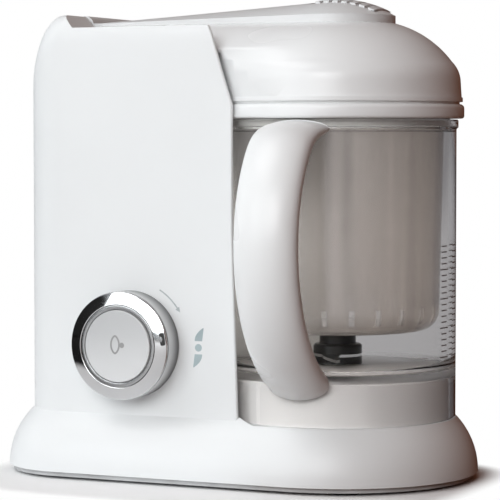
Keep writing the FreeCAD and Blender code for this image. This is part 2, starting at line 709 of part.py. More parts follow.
def make_motor_end_cap():
    cap = post(MOTOR_RADIUS, MOTOR_TOP, MOTOR_TOP + MOTOR_CAP, MOTOR_X)
    return cap.cut(post(MOTOR_SHAFT + RUN_GAP, MOTOR_TOP, MOTOR_TOP + MOTOR_CAP - PART_GAP, MOTOR_X))


def make_motor_armature():
    low = MOTOR_BOTTOM + MOTOR_WALL + ARMATURE_GAP
    return ring(ARMATURE_RADIUS, MOTOR_SHAFT, low, MOTOR_TOP - ARMATURE_GAP, MOTOR_X)


def make_motor_shaft():
    return post(MOTOR_SHAFT, PULLEY_Z - PART_GAP, MOTOR_TOP + MOTOR_CAP - 2 * PART_GAP, MOTOR_X)


def make_motor_pulley():
    return ring(MOTOR_PULLEY, MOTOR_SHAFT, PULLEY_Z, PULLEY_Z + PULLEY_HEIGHT, MOTOR_X)


def belt_loop(extra, z0, z1):
    """The outline of a belt round both pulleys, standing off them by extra."""
    small = MOTOR_PULLEY + extra
    large = DRIVE_PULLEY + extra
    lean = math.asin((large - small) / -MOTOR_X)
    sine = math.sin(lean)
    cosine = math.cos(lean)
    near = (-large * sine, large * cosine)
    far = (MOTOR_X - small * sine, small * cosine)
    steps = [((MOTOR_X - small, 0.0), (far[0], -far[1])),
             (near[0], -near[1]),
             ((large, 0.0), near)]
    wire = outline(near, [far] + steps, lambda a, b: V(a, b, z0))
    return Part.Face(wire).extrude(V(0, 0, z1 - z0))


def make_drive_belt():
    z0 = PULLEY_Z + (PULLEY_HEIGHT - BELT_WIDTH) / 2
    return belt_loop(BELT_GAP + BELT_THICK, z0, z0 + BELT_WIDTH).cut(belt_loop(BELT_GAP, z0, z0 + BELT_WIDTH))


def make_drive_pulley():
    hub_bottom = LOWER_BOSS_TOP + SEAT_GAP
    hub_top = PULLEY_Z + PULLEY_HEIGHT + 2 * PART_GAP
    wheel = post(DRIVE_PULLEY, PULLEY_Z, PULLEY_Z + PULLEY_HEIGHT).fuse(post(PULLEY_HUB, hub_bottom, hub_top))
    return wheel.cut(post(SPINDLE_RADIUS, hub_bottom, hub_top))


def make_drive_spindle():
    return post(SPINDLE_RADIUS, COVER_TOP + SEAT_GAP, COUPLING_TOP - 2 * PART_GAP)


def make_spindle_bushes():
    bore = SPINDLE_RADIUS + RUN_GAP
    lower = ring(BUSH_RADIUS, bore, COVER_TOP, LOWER_BOSS_TOP)
    upper = ring(BUSH_RADIUS, bore, WELL_FLOOR - BUSH_BOSS_DROP, WELL_FLOOR)
    return Part.makeCompound([lower, upper])


def make_drive_coupling():
    dog = hexagon(COUPLING_RADIUS, COUPLING_BASE, COUPLING_TOP)
    return dog.cut(post(SPINDLE_RADIUS, COUPLING_BASE, COUPLING_TOP - 2 * PART_GAP))


def make_blade_coupling():
    socket = post(SOCKET_RADIUS, SOCKET_BOTTOM, SOCKET_TOP)
    socket = socket.cut(hexagon(COUPLING_RADIUS + SLIDE_GAP, SOCKET_BOTTOM, COUPLING_TOP + SEAT_GAP))
    return socket.cut(post(SPINDLE_RADIUS, COUPLING_TOP, SOCKET_TOP))


def make_blade_shaft():
    return post(SPINDLE_RADIUS, COUPLING_TOP + SEAT_GAP, HUB_TOP - HUB_TOP_ROUND - 2 * PART_GAP)


def make_bowl_bush():
    bore = SPINDLE_RADIUS + RUN_GAP
    flange_z = BOWL_FLOOR_TOP + BOWL_SEAL_THICK
    return lathe((bore, BOWL_UNDER), [(BOWL_BUSH_BARREL, BOWL_UNDER), (BOWL_BUSH_BARREL, flange_z),
                                      (BOWL_BUSH_OUT, flange_z), (BOWL_BUSH_OUT, flange_z + BOWL_BUSH_RISE),
                                      (bore, flange_z + BOWL_BUSH_RISE)])


def make_bowl_seal():
    return ring(BOWL_BUSH_OUT, BOWL_BUSH_BARREL, BOWL_FLOOR_TOP, BOWL_FLOOR_TOP + BOWL_SEAL_THICK)


def make_bowl():
    hole = BOWL_BUSH_BARREL
    lip_z = BOWL_RIM - BOWL_LIP_HEIGHT
    turn = BOWL_FLOOR_ROUND
    wall_end = (BOWL_INSIDE, BOWL_FLOOR_TOP + turn)
    floor_end = (BOWL_INSIDE - turn, BOWL_FLOOR_TOP)
    turn_mid = bulge(floor_end, wall_end, turn * (1 - math.sqrt(0.5)))
    return lathe((BOWL_INSIDE, BOWL_BOTTOM),
                 [(BOWL_RADIUS, BOWL_BOTTOM), (BOWL_RADIUS, lip_z), (BOWL_LIP_RADIUS, lip_z + BOWL_LIP),
                  (BOWL_LIP_RADIUS, BOWL_RIM), (LEDGE_RADIUS, BOWL_RIM), (LEDGE_RADIUS, LEDGE_Z),
                  (BOWL_INSIDE, LEDGE_Z), wall_end, (turn_mid, floor_end), (hole, BOWL_FLOOR_TOP),
                  (hole, BOWL_UNDER), (BOWL_INSIDE, BOWL_UNDER)])


def handle_stations():
    """Places along the handle as (reach, height, heading, thickness), from the bowl rim to its foot."""
    arm_tilt = math.radians(HANDLE_ARM_TILT)
    root = BOWL_RADIUS - HANDLE_END_THICK / 2
    top = BOWL_RIM - HANDLE_TOP_DROP
    outermost = root + HANDLE_REACH + HANDLE_END_THICK / 2
    centre_z = BOWL_BOTTOM + HANDLE_MID
    grip_start = arm_tilt + math.radians(HANDLE_BEND)
    start_reach = outermost - HANDLE_ARC * (1 - math.sin(grip_start))
    start_z = centre_z + HANDLE_ARC * math.cos(grip_start)
    # One smooth curve carries the arm from the rim into the bend
    knee_reach = start_reach - HANDLE_KNEE * math.cos(grip_start)
    knee_z = start_z + HANDLE_KNEE * math.sin(grip_start)
    curve = Part.BezierCurve()
    curve.setPoles([V(root, 0, top),
                    V(root + HANDLE_ARM * math.cos(arm_tilt), 0, top - HANDLE_ARM * math.sin(arm_tilt)),
                    V(knee_reach, 0, knee_z),
                    V(start_reach, 0, start_z)])
    stations = []
    for share, grown in ((0.0, 0.0), (0.4, ARM_GROWTH), (0.7, (1 + ARM_GROWTH) / 2)):
        at = curve.value(share)
        along = curve.tangent(share)[0]
        thick = HANDLE_END_THICK + grown * (HANDLE_THICK - HANDLE_END_THICK)
        stations.append((at.x, at.z, math.atan2(-along.z, along.x), thick))
    # Below its middle the grip follows a wider arc to its foot
    foot = math.pi - math.asin(1 - (outermost - root) / HANDLE_LOW_ARC)
    for index in range(GRIP_STATIONS):
        share = index / (GRIP_STATIONS - 1)
        heading = grip_start + share * (foot - grip_start)
        thick = HANDLE_THICK
        if share > 0.5:
            thick -= (2 * share - 1) ** 2 * (HANDLE_THICK - HANDLE_FOOT_THICK)
        arc = HANDLE_ARC if heading < math.pi / 2 else HANDLE_LOW_ARC
        stations.append((outermost - arc * (1 - math.sin(heading)),
                         centre_z + arc * math.cos(heading), heading, thick))
    return stations


def handle_front():
    """How far the handle stands out in front of the bowl axis."""
    turn = math.radians(HANDLE_TURN)
    middle = (BOWL_RADIUS + HANDLE_REACH) * math.cos(turn)
    return middle + math.hypot(HANDLE_THICK / 2 * math.cos(turn), HANDLE_WIDTH / 2 * math.sin(turn))


def make_bowl_handle():
    wires = []
    for reach, z, heading, thick in handle_stations():
        centre = V(0, -reach, z)
        side = centre + V(HANDLE_WIDTH / 2, 0, 0)
        outward = centre + V(0, -math.sin(heading), math.cos(heading)) * (thick / 2)
        wires.append(Part.Wire(Part.Ellipse(side, outward, centre).toShape()))
    loop = Part.makeLoft(wires, True, False)
    loop.rotate(V(0, 0, 0), V(0, 0, 1), HANDLE_TURN)
    return loop.cut(bowl_outside())


def bowl_outside():
    lip_z = BOWL_RIM - BOWL_LIP_HEIGHT
    return lathe((0.0, BOWL_BOTTOM), [(BOWL_RADIUS, BOWL_BOTTOM), (BOWL_RADIUS, lip_z),
                                      (BOWL_LIP_RADIUS, lip_z + BOWL_LIP), (BOWL_LIP_RADIUS, BOWL_RIM),
                                      (0.0, BOWL_RIM)])


def make_steam_basket():
    top_radius = BOWL_INSIDE - BASKET_SIDE_GAP
    low_radius = top_radius - BASKET_DRAFT
    flange_z = LEDGE_Z + SEAT_GAP
    flange_top = flange_z + BASKET_FLANGE
    turn = BASKET_FLOOR_ROUND
    inner_turn = turn - BASKET_WALL
    low_in = low_radius - BASKET_WALL
    floor = BASKET_BOTTOM + BASKET_WALL
    rounding = 1 - math.sqrt(0.5)
    out_a = (low_radius - turn, BASKET_BOTTOM)
    out_b = (low_radius, BASKET_BOTTOM + turn)
    in_a = (low_in - inner_turn, floor)
    in_b = (low_in, floor + inner_turn)
    rim = LEDGE_RADIUS - SLIDE_GAP
    basket = lathe((0.0, BASKET_BOTTOM),
                   [out_a, (bulge(out_a, out_b, turn * rounding), out_b), (top_radius, flange_z),
                    (rim, flange_z), (rim, flange_top), (top_radius - BASKET_WALL, flange_top), in_b,
                    (bulge(in_a, in_b, inner_turn * rounding), in_a), (0.0, floor)])
    slot_z = BASKET_BOTTOM + turn / 2
    slot = block(low_in - turn, top_radius, -BASKET_SLOT_WIDTH / 2, BASKET_SLOT_WIDTH / 2,
                 slot_z, slot_z + BASKET_SLOT_HEIGHT)
    cuts = turned(BASKET_SLOTS, slot)
    cuts.append(post(BASKET_HOLE, BASKET_BOTTOM, floor))
    for index in range(1, BASKET_HOLE_RINGS + 1):
        hole = post(BASKET_HOLE, BASKET_BOTTOM, floor, index * BASKET_HOLE_PITCH)
        cuts += turned(6 * index, hole)
    return basket.cut(Part.makeCompound(cuts))


def make_blade_hub():
    edge = HUB_TOP - HUB_TOP_ROUND
    top_mid = bulge((HUB_RADIUS, edge), (HUB_RADIUS - HUB_TOP_ROUND, HUB_TOP),
                    HUB_TOP_ROUND * (1 - math.sqrt(0.5)))
    bore_top = edge - 2 * PART_GAP
    # A skirt hides the bush's flange, and the blade is moulded in under a collar
    skirt = BOWL_BUSH_OUT + SLIDE_GAP
    skirt_z = BOWL_FLOOR_TOP + PART_GAP / 2
    blade_top = BLADE_Z + BLADE_THICK
    collar_top = blade_top + HUB_COLLAR
    return lathe((SPINDLE_RADIUS, BLADE_BASE),
                 [(skirt, BLADE_BASE), (skirt, skirt_z), (HUB_BASE_RADIUS, skirt_z),
                  (HUB_BASE_RADIUS, BLADE_Z), (HUB_RADIUS, BLADE_Z), (HUB_RADIUS, blade_top),
                  (HUB_BASE_RADIUS, blade_top), (HUB_BASE_RADIUS, collar_top), (HUB_RADIUS, collar_top),
                  (HUB_RADIUS, edge), (top_mid, (HUB_RADIUS - HUB_TOP_ROUND, HUB_TOP)), (0.0, HUB_TOP),
                  (0.0, bore_top), (SPINDLE_RADIUS, bore_top)])


def make_blade():
    """Two swept blades on one steel plate that is held in the hub."""
    top = BLADE_Z + BLADE_THICK
    plate = post(HUB_BASE_RADIUS, BLADE_Z, top)
    lead = (BLADE_SPAN, -BLADE_ROOT / 2)
    sweep = outline((0.0, -BLADE_ROOT),
                    [(bulge((0.0, -BLADE_ROOT), lead, BLADE_TIP / 2), lead),
                     (BLADE_SPAN - BLADE_TIP, BLADE_TIP / 2 - BLADE_ROOT / 2),
                     (bulge((BLADE_SPAN - BLADE_TIP, BLADE_TIP / 2 - BLADE_ROOT / 2), (0.0, BLADE_ROOT / 2),
                            -BLADE_TIP / 2), (0.0, BLADE_ROOT / 2))],
                    lambda a, b: V(a, b, BLADE_Z))
    arm = Part.Face(sweep).extrude(V(0, 0, BLADE_THICK))
    for copy in turned(2, arm, BLADE_TURN):
        plate = plate.fuse(copy)
    return plate.cut(post(HUB_RADIUS, BLADE_Z, top))


def dome_steps(wall):
    """The lid's outline from its foot to its top, drawn in by the wall's thickness."""
    foot_z = LID_RING_TOP
    top = DOME_TOP - wall
    shoulder = (DOME_RADIUS - wall, foot_z + DOME_SIDE)
    crest = (DOME_RADIUS - DOME_SHOULDER_IN - wall, foot_z + DOME_SIDE + DOME_SHOULDER_UP - wall / 2)
    rim = (BAR_HALF, top)
    return shoulder, crest, rim


def dome_outline(wall):
    shoulder, crest, rim = dome_steps(wall)
    foot = DOME_RADIUS - DOME_FOOT_INSET - wall
    lip = DOME_RADIUS + DOME_LIP - wall
    lip_z = LID_RING_TOP + DOME_FOOT_HEIGHT
    lip_top = lip_z + DOME_LIP_HEIGHT
    if wall:
        start = [(foot, LID_RING_TOP)]
    else:
        start = [(foot, LID_RING_TOP), (foot, lip_z), (lip, lip_z), (lip, lip_top),
                 (DOME_RADIUS + DOME_LIP / 2, lip_top)]
    return start + [shoulder, (bulge(shoulder, crest, DOME_SHOULDER_BULGE), crest),
                    (bulge(crest, rim, DOME_BULGE), rim)]


def lid_form(wall):
    """The dome over the bowl, its sides out to the wings and the neck that runs to the hinge."""
    profile = dome_outline(wall) + [(0.0, DOME_TOP - wall)]
    dome = lathe((0.0, LID_RING_TOP), profile)
    left = NECK_LEFT + wall
    half = NECK_HALF - wall
    arch = Part.Face(outline((0.0, LID_RING_TOP), profile, on_end)).extrude(V(left, 0, 0))
    arch = arch.fuse(arch.mirror(V(0, 0, 0), V(0, 1, 0)))
    keep = block(left, 0, -half, half, NECK_BOTTOM, DOME_TOP)
    keep = keep.fuse(recess(-CHEEK_GAP - wall, LID_RING_TOP))
    return dome.fuse(arch.common(keep))


def make_lid_dome():
    return lid_form(0.0).cut(lid_form(LID_WALL))


def make_lid_ring():
    edge = PART_GAP
    return lathe((LID_RING_INSIDE, LID_RING_Z),
                 [(LID_RING_RADIUS - edge, LID_RING_Z), (LID_RING_RADIUS, LID_RING_Z + edge),
                  (LID_RING_RADIUS, LID_RING_TOP - edge), (LID_RING_RADIUS - edge, LID_RING_TOP),
                  (LID_RING_INSIDE, LID_RING_TOP)])


INNER_PLATE_Z = LID_RING_TOP - INNER_PLATE_DROP
# The lid swings about the hinge, so its seal stands in from the bowl wall by what its arc needs
SEAL_OUT = LEDGE_RADIUS - 1.6 * PART_GAP
SEAL_BOTTOM = LEDGE_Z + SEAT_GAP + BASKET_FLANGE + SLIDE_GAP


def make_lid_inner_plate():
    top = INNER_PLATE_Z + INNER_PLATE
    plate = ring(LID_RING_INSIDE, STEAM_HOLE, INNER_PLATE_Z, top)
    slot = block(2 * STEAM_HOLE, 4 * STEAM_HOLE, -PART_GAP, PART_GAP, INNER_PLATE_Z, top)
    return plate.cut(Part.makeCompound(turned(STEAM_SLOTS, slot)))


def make_lid_seal():
    return ring(SEAL_OUT, SEAL_OUT - SEAL_WIDTH, SEAL_BOTTOM, INNER_PLATE_Z)


def make_steam_plate():
    half = NECK_HALF - LID_WALL
    top = NECK_BOTTOM + LID_WALL
    plate = block(NECK_LEFT + LID_WALL, -BAR_HALF, -half, half, NECK_BOTTOM, top)
    plate = plate.cut(post(DOME_RADIUS - 2 * DOME_SHOULDER_IN - LID_WALL, NECK_BOTTOM, top))
    plate = plate.cut(post(BOILER_MOUTH - PART_GAP, NECK_BOTTOM, top, MOUTH_X))
    return plate.common(lid_form(LID_WALL))


def bar_section(x, side, crown):
    """The bar's end outline at x, a flat bottom and upright sides under a crowned top."""
    steps = [(BAR_HALF, DOME_TOP), (BAR_HALF, DOME_TOP + side),
             ((0.0, DOME_TOP + side + crown), (-BAR_HALF, DOME_TOP + side))]
    return outline((-BAR_HALF, DOME_TOP), steps, lambda a, b: V(x, a, b))


def bar_form():
    side_top = DOME_TOP + BAR_SIDE
    crown_arc = (BAR_HALF ** 2 + BAR_CROWN ** 2) / (2 * BAR_CROWN)
    half_way = BAR_HALF / 2
    crown_mid = (half_way, side_top + BAR_CROWN - crown_arc + math.sqrt(crown_arc ** 2 - half_way ** 2))
    nose = lathe((0.0, DOME_TOP), [(BAR_HALF, DOME_TOP), (BAR_HALF, side_top),
                                   (crown_mid, (0.0, side_top + BAR_CROWN))])
    reach = 2 * BAR_HALF
    nose = nose.common(block(0, reach, -reach, reach, DOME_TOP, side_top + 2 * BAR_CROWN))
    tail = Part.makeLoft([bar_section(0.0, BAR_SIDE, BAR_CROWN),
                          bar_section(NECK_LEFT, BAR_TAIL_SIDE, BAR_TAIL_CROWN)], True, True)
    return nose.fuse(tail)


SLIDER_FLOOR = DOME_TOP + BAR_SIDE + BAR_CROWN - SLIDER_DEEP
SLIDER_END = SLIDER_START + SLIDER_LENGTH
LATCH_Z = DOME_TOP + SLIDE_GAP
LATCH_TOP = LATCH_Z + LATCH_STRIP_THICK
STEM_LEFT = SLIDER_START + SLIDER_LENGTH / 2
STEM_RIGHT = STEM_LEFT + LATCH_STEM
LATCH_END = NECK_LEFT + LID_WALL + SLIDER_TRAVEL
SPRING_Z = LATCH_TOP


def make_lid_bar():
    bar = bar_form()
    knuckle = rod_y(KNUCKLE, -BAR_HALF, BAR_HALF, HINGE_X, HINGE_Z)
    web_top = DOME_TOP + BAR_TAIL_SIDE
    web = block(HINGE_X, NECK_LEFT, -BAR_HALF, BAR_HALF, HINGE_Z - KNUCKLE / 2, web_top)
    bar = bar.fuse(knuckle).fuse(web)
    bar = bar.cut(rod_y(PIN_RADIUS + RUN_GAP, -BAR_HALF, BAR_HALF, HINGE_X, HINGE_Z))
    # The slider's pocket, its stem's slot, the strip's channel and the spring's bore
    half = SLIDER_HALF + SLIDE_GAP
    bar = bar.cut(block(SLIDER_START - SLIDER_TRAVEL - SLIDE_GAP, SLIDER_END + SLIDE_GAP, -half, half,
                        SLIDER_FLOOR - SLIDE_GAP, SLIDER_FLOOR + 2 * BAR_CROWN))
    slot = LATCH_STRIP_HALF + SLIDE_GAP
    bar = bar.cut(block(STEM_LEFT - SLIDER_TRAVEL - SLIDE_GAP, STEM_RIGHT + SLIDE_GAP, -slot, slot,
                        DOME_TOP, SLIDER_FLOOR))
    bar = bar.cut(block(LATCH_END - SLIDER_TRAVEL - SLIDE_GAP, STEM_RIGHT + SLIDE_GAP, -slot, slot,
                        DOME_TOP, LATCH_TOP + SLIDE_GAP))
    bore = LATCH_SPRING_RADIUS + SLIDE_GAP
    return bar.cut(rod_x(bore, STEM_RIGHT, STEM_RIGHT + LATCH_SPRING_LENGTH, 0.0, SPRING_Z))


def make_latch_slider():
    pad = bar_form().translated(V(0, 0, SLIDER_PROUD))
    pad = pad.common(block(SLIDER_START, SLIDER_END, -SLIDER_HALF, SLIDER_HALF, SLIDER_FLOOR,
                           SLIDER_FLOOR + 2 * BAR_CROWN))
    count = int(SLIDER_LENGTH / SLIDER_RIB_PITCH)
    rest = bar_form().translated(V(0, 0, SLIDER_PROUD - SLIDER_RIB_DEEP))
    for index in range(count):
        x = SLIDER_START + SLIDER_RIB_PITCH * (index + 0.5)
        groove = block(x, x + SLIDER_RIB_GROOVE, -SLIDER_HALF, SLIDER_HALF, SLIDER_FLOOR,
                       SLIDER_FLOOR + 2 * BAR_CROWN)
        pad = pad.cut(groove.cut(rest))
    stem = block(STEM_LEFT, STEM_RIGHT, -LATCH_STRIP_HALF, LATCH_STRIP_HALF,
                 LATCH_TOP, SLIDER_FLOOR + PART_GAP)
    return pad.fuse(stem)


def make_latch_strip():
    return block(LATCH_END, STEM_RIGHT, -LATCH_STRIP_HALF, LATCH_STRIP_HALF, LATCH_Z, LATCH_TOP)


def make_latch_spring():
    wire = LATCH_SPRING_RADIUS / 4
    spring = coil(LATCH_SPRING_RADIUS - wire, wire, LATCH_SPRING_LENGTH - 4 * wire, LATCH_SPRING_TURNS)
    spring.rotate(V(0, 0, 0), V(0, 1, 0), 90)
    return spring.translated(V(STEM_RIGHT + 2 * wire, 0, SPRING_Z))


def make_hinge_pin():
    reach = BAR_HALF + PART_GAP + PIN_INTO_EAR
    return rod_y(PIN_RADIUS, -reach, reach, HINGE_X, HINGE_Z)


def on_knob(shape):
    """A piece turned about +Z, laid on the column's front with its height pointing out."""
    laid = shape.copy()
    laid.rotate(V(0, 0, 0), V(1, 0, 0), 90)
    return laid.translated(V(KNOB_X, -COLUMN_FRONT, KNOB_Z))


BEZEL_IN = BUTTON_RADIUS + SEAT_GAP
BEZEL_OUT = BEZEL_IN + BEZEL_WALL
HUB_FACE = HUB_LIFT + HUB_THICK
TUBE_END = -HOUSING_WALL - SPINDLE_INTO_SWITCH
STEM_END = TUBE_END - 2 * PART_GAP
STEM_BORE = BUTTON_STEM + SLIDE_GAP


def make_knob_ring():
    wall_in = KNOB_RADIUS - KNOB_RIM
    shelf = HUB_FACE + KNOB_RIM
    return on_knob(lathe((wall_in, KNOB_GAP),
                         [(KNOB_RADIUS, KNOB_GAP), (KNOB_RADIUS, KNOB_DEPTH - KNOB_BEVEL),
                          (BEZEL_OUT, KNOB_DEPTH), (BEZEL_OUT, shelf), (wall_in, shelf)]))


def make_knob_hub():
    rim = KNOB_RADIUS - KNOB_RIM
    return on_knob(lathe((STEM_BORE, TUBE_END),
                         [(HUB_TUBE, TUBE_END), (HUB_TUBE, HUB_LIFT), (rim, HUB_LIFT), (rim, HUB_FACE),
                          (STEM_BORE, HUB_FACE)]))


def make_button_bezel():
    return on_knob(ring(BEZEL_OUT, BEZEL_IN, HUB_FACE, KNOB_DEPTH - SEAT_GAP))


def make_button_cap():
    back = KNOB_DEPTH - BUTTON_THICK
    edge = PART_GAP / 2
    return on_knob(lathe((0.0, STEM_END),
                         [(BUTTON_STEM, STEM_END), (BUTTON_STEM, back), (BUTTON_RADIUS, back),
                          (BUTTON_RADIUS, KNOB_DEPTH - edge), (BUTTON_RADIUS - edge, KNOB_DEPTH),
                          (0.0, KNOB_DEPTH)]))


def make_button_spring():
    wire = PART_GAP / 2
    gap = KNOB_DEPTH - BUTTON_THICK - HUB_FACE
    spring = coil(2 * BUTTON_STEM, wire, gap - 2 * wire - 2 * RUN_GAP, BUTTON_SPRING_TURNS)
    return on_knob(spring.translated(V(0, 0, HUB_FACE + wire + RUN_GAP)))


def make_selector_switch():
    half = SWITCH_SIZE / 2
    body = block(KNOB_X - half, KNOB_X + half, -INNER_FRONT, -INNER_FRONT + SWITCH_DEPTH,
                 KNOB_Z - half, KNOB_Z + half)
    tube = rod_y(HUB_TUBE + SLIDE_GAP, -INNER_FRONT, -COLUMN_FRONT - TUBE_END + SLIDE_GAP, KNOB_X, KNOB_Z)
    deep = -COLUMN_FRONT - STEM_END + BUTTON_TRAVEL + PART_GAP
    return body.cut(tube).cut(rod_y(STEM_BORE, -INNER_FRONT, deep, KNOB_X, KNOB_Z))


BOILER_TOP = DECK_UNDER
BOILER_BOTTOM = BOILER_TOP - BOILER_DEPTH


def make_boiler_cup():
    inside = BOILER_RADIUS - BOILER_WALL
    rim = BOILER_TOP - BOILER_WALL
    cup = lathe((0.0, BOILER_BOTTOM),
                [(BOILER_RADIUS, BOILER_BOTTOM), (BOILER_RADIUS, rim), (BOILER_FLANGE, rim),
                 (BOILER_FLANGE, BOILER_TOP), (0.0, BOILER_TOP)])
    cup = cup.cut(post(inside, BOILER_BOTTOM + BOILER_WALL, rim)).translated(V(BOILER_X, 0, 0))
    cup = cup.cut(post(BOILER_MOUTH, rim, BOILER_TOP, MOUTH_X))
    for x, y in boiler_screw_spots():
        cup = cup.cut(post(SCREW_SHANK, rim, BOILER_TOP, x, y))
    return cup


def make_boiler_screws():
    rim = BOILER_TOP - BOILER_WALL
    length = BOILER_WALL + HOUSING_WALL - PART_GAP
    head = (BOILER_FLANGE - BOILER_RADIUS) / 2
    screws = []
    for x, y in boiler_screw_spots():
        screw = post(head, rim - SCREW_HEAD_HEIGHT, rim, x, y)
        screws.append(screw.fuse(post(SCREW_SHANK, rim, rim + length, x, y)))
    return Part.makeCompound(screws)


def make_boiler_gasket():
    return ring(BOILER_MOUTH + GASKET_WALL, BOILER_MOUTH, DECK, DECK + GASKET_HEIGHT, MOUTH_X)


HEATER_BOTTOM = BOILER_BOTTOM - HEATER_HEIGHT


def make_boiler_heater():
    return post(HEATER_RADIUS, HEATER_BOTTOM, BOILER_BOTTOM, BOILER_X)


def make_thermostat():
    return post(THERMOSTAT_RADIUS, HEATER_BOTTOM - THERMOSTAT_HEIGHT, HEATER_BOTTOM, BOILER_X)


def make_thermal_fuse():
    out = THERMOSTAT_RADIUS + FUSE_RADIUS + 2 * PART_GAP
    return rod_x(FUSE_RADIUS, -FUSE_LENGTH / 2, FUSE_LENGTH / 2, out, HEATER_BOTTOM - FUSE_RADIUS).translated(
        V(BOILER_X, 0, 0))


BOARD_BACK = INNER_FRONT - STANDOFF
BOARD_FACE = BOARD_BACK - BOARD_THICK


def make_control_board():
    board = block(BOARD_X - BOARD_WIDTH / 2, BOARD_X + BOARD_WIDTH / 2, BOARD_FACE, BOARD_BACK,
                  BOARD_Z, BOARD_Z + BOARD_HEIGHT)
    for x, z in board_screw_spots():
        board = board.cut(rod_y(SCREW_SHANK, BOARD_FACE, BOARD_BACK, x, z))
    return board


def make_board_screws():
    screws = []
    for x, z in board_screw_spots():
        head = rod_y(SCREW_HEAD, BOARD_FACE - SCREW_HEAD_HEIGHT, BOARD_FACE, x, z)
        screws.append(head.fuse(rod_y(SCREW_SHANK, BOARD_FACE, INNER_FRONT - PART_GAP, x, z)))
    return Part.makeCompound(screws)


def make_board_relay():
    middle = BOARD_Z + BOARD_HEIGHT / 2
    return block(BOARD_X - BOARD_WIDTH / 4, BOARD_X, BOARD_FACE - 3 * STANDOFF_RADIUS, BOARD_FACE,
                 middle - STANDOFF, middle + STANDOFF)


def make_board_capacitor():
    return rod_y(STANDOFF, BOARD_FACE - 4 * STANDOFF_RADIUS, BOARD_FACE, BOARD_X + BOARD_WIDTH / 5,
                 BOARD_Z + BOARD_HEIGHT / 2)


def make_lid_switch():
    return block(BOILER_X - LID_SWITCH_LENGTH / 2, BOILER_X + LID_SWITCH_LENGTH / 2,
                 INNER_FRONT - LID_SWITCH_THICK, INNER_FRONT, DECK_UNDER - LID_SWITCH_HEIGHT, DECK_UNDER)


def make_cord_inlet():
    lip = INLET_RADIUS + INLET_LIP
    inner_end = INNER_FRONT - INLET_LIP
    outer_end = COLUMN_FRONT + INLET_LIP
    grommet = rod_y(INLET_RADIUS, INNER_FRONT, COLUMN_FRONT, INLET_X, INLET_Z)
    grommet = grommet.fuse(rod_y(lip, COLUMN_FRONT, outer_end, INLET_X, INLET_Z))
    grommet = grommet.fuse(rod_y(lip, inner_end, INNER_FRONT, INLET_X, INLET_Z))
    return grommet.cut(rod_y(INLET_BORE, inner_end, outer_end, INLET_X, INLET_Z))


MAKERS = [
    make_housing, make_deck_plate, make_bowl_pedestal, make_pedestal_screws, make_bottom_cover,
    make_rubber_feet,
    make_cover_screws, make_motor_bracket, make_bracket_screws, make_motor_screws, make_motor_can,
    make_motor_end_cap, make_motor_armature, make_motor_shaft, make_motor_pulley, make_drive_belt,
    make_drive_pulley, make_drive_spindle, make_spindle_bushes, make_drive_coupling, make_blade_coupling,
    make_blade_shaft, make_blade_hub, make_blade, make_bowl, make_bowl_bush, make_bowl_seal,
    make_bowl_handle, make_steam_basket, make_lid_dome, make_lid_ring, make_lid_inner_plate,
    make_lid_seal, make_steam_plate, make_lid_bar, make_latch_slider, make_latch_strip,
    make_latch_spring, make_hinge_pin, make_knob_ring, make_knob_hub, make_button_bezel, make_button_cap,
    make_button_spring, make_selector_switch, make_boiler_cup, make_boiler_screws, make_boiler_gasket,
    make_boiler_heater, make_thermostat, make_thermal_fuse, make_control_board, make_board_screws,
    make_board_relay, make_board_capacitor, make_lid_switch, make_cord_inlet,
]


def main():
    os.makedirs("parts", exist_ok=True)
    to_middle = V((BASE_LEFT - BASE_RADIUS) / 2, (handle_front() - BASE_RADIUS) / 2, 0)
    for make in MAKERS:
        name = make.__name__.replace("make_", "", 1)
        make().translated(to_middle).exportStep(os.path.join("parts", name + ".step"))


main()
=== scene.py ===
import json
import math

import bmesh
import bpy
from mathutils import Matrix, Vector

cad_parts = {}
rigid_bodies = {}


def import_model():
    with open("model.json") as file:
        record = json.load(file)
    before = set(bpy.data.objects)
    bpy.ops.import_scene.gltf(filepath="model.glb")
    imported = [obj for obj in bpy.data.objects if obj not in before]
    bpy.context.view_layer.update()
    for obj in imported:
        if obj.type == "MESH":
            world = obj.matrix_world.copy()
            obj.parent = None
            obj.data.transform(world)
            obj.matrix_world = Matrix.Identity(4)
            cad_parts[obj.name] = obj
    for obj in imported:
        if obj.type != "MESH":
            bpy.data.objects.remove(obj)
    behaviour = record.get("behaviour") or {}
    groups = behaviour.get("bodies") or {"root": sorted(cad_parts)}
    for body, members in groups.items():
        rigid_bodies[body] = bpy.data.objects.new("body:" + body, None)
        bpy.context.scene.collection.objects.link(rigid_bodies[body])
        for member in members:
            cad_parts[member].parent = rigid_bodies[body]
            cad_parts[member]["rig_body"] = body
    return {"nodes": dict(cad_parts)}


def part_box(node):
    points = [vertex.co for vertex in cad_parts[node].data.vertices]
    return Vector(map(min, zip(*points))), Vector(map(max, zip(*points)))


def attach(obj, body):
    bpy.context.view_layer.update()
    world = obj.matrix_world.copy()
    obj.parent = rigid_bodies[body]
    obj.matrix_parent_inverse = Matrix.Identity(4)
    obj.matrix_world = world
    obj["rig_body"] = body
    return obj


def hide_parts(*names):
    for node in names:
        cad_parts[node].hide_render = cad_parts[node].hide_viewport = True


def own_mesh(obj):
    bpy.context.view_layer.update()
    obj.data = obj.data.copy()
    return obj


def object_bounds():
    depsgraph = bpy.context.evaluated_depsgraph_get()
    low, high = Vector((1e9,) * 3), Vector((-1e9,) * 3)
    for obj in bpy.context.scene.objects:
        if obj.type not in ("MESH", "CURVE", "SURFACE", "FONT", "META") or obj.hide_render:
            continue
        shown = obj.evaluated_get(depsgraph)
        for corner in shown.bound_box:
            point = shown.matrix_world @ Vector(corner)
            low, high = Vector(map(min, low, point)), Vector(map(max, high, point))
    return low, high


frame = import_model()
CAD_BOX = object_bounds()

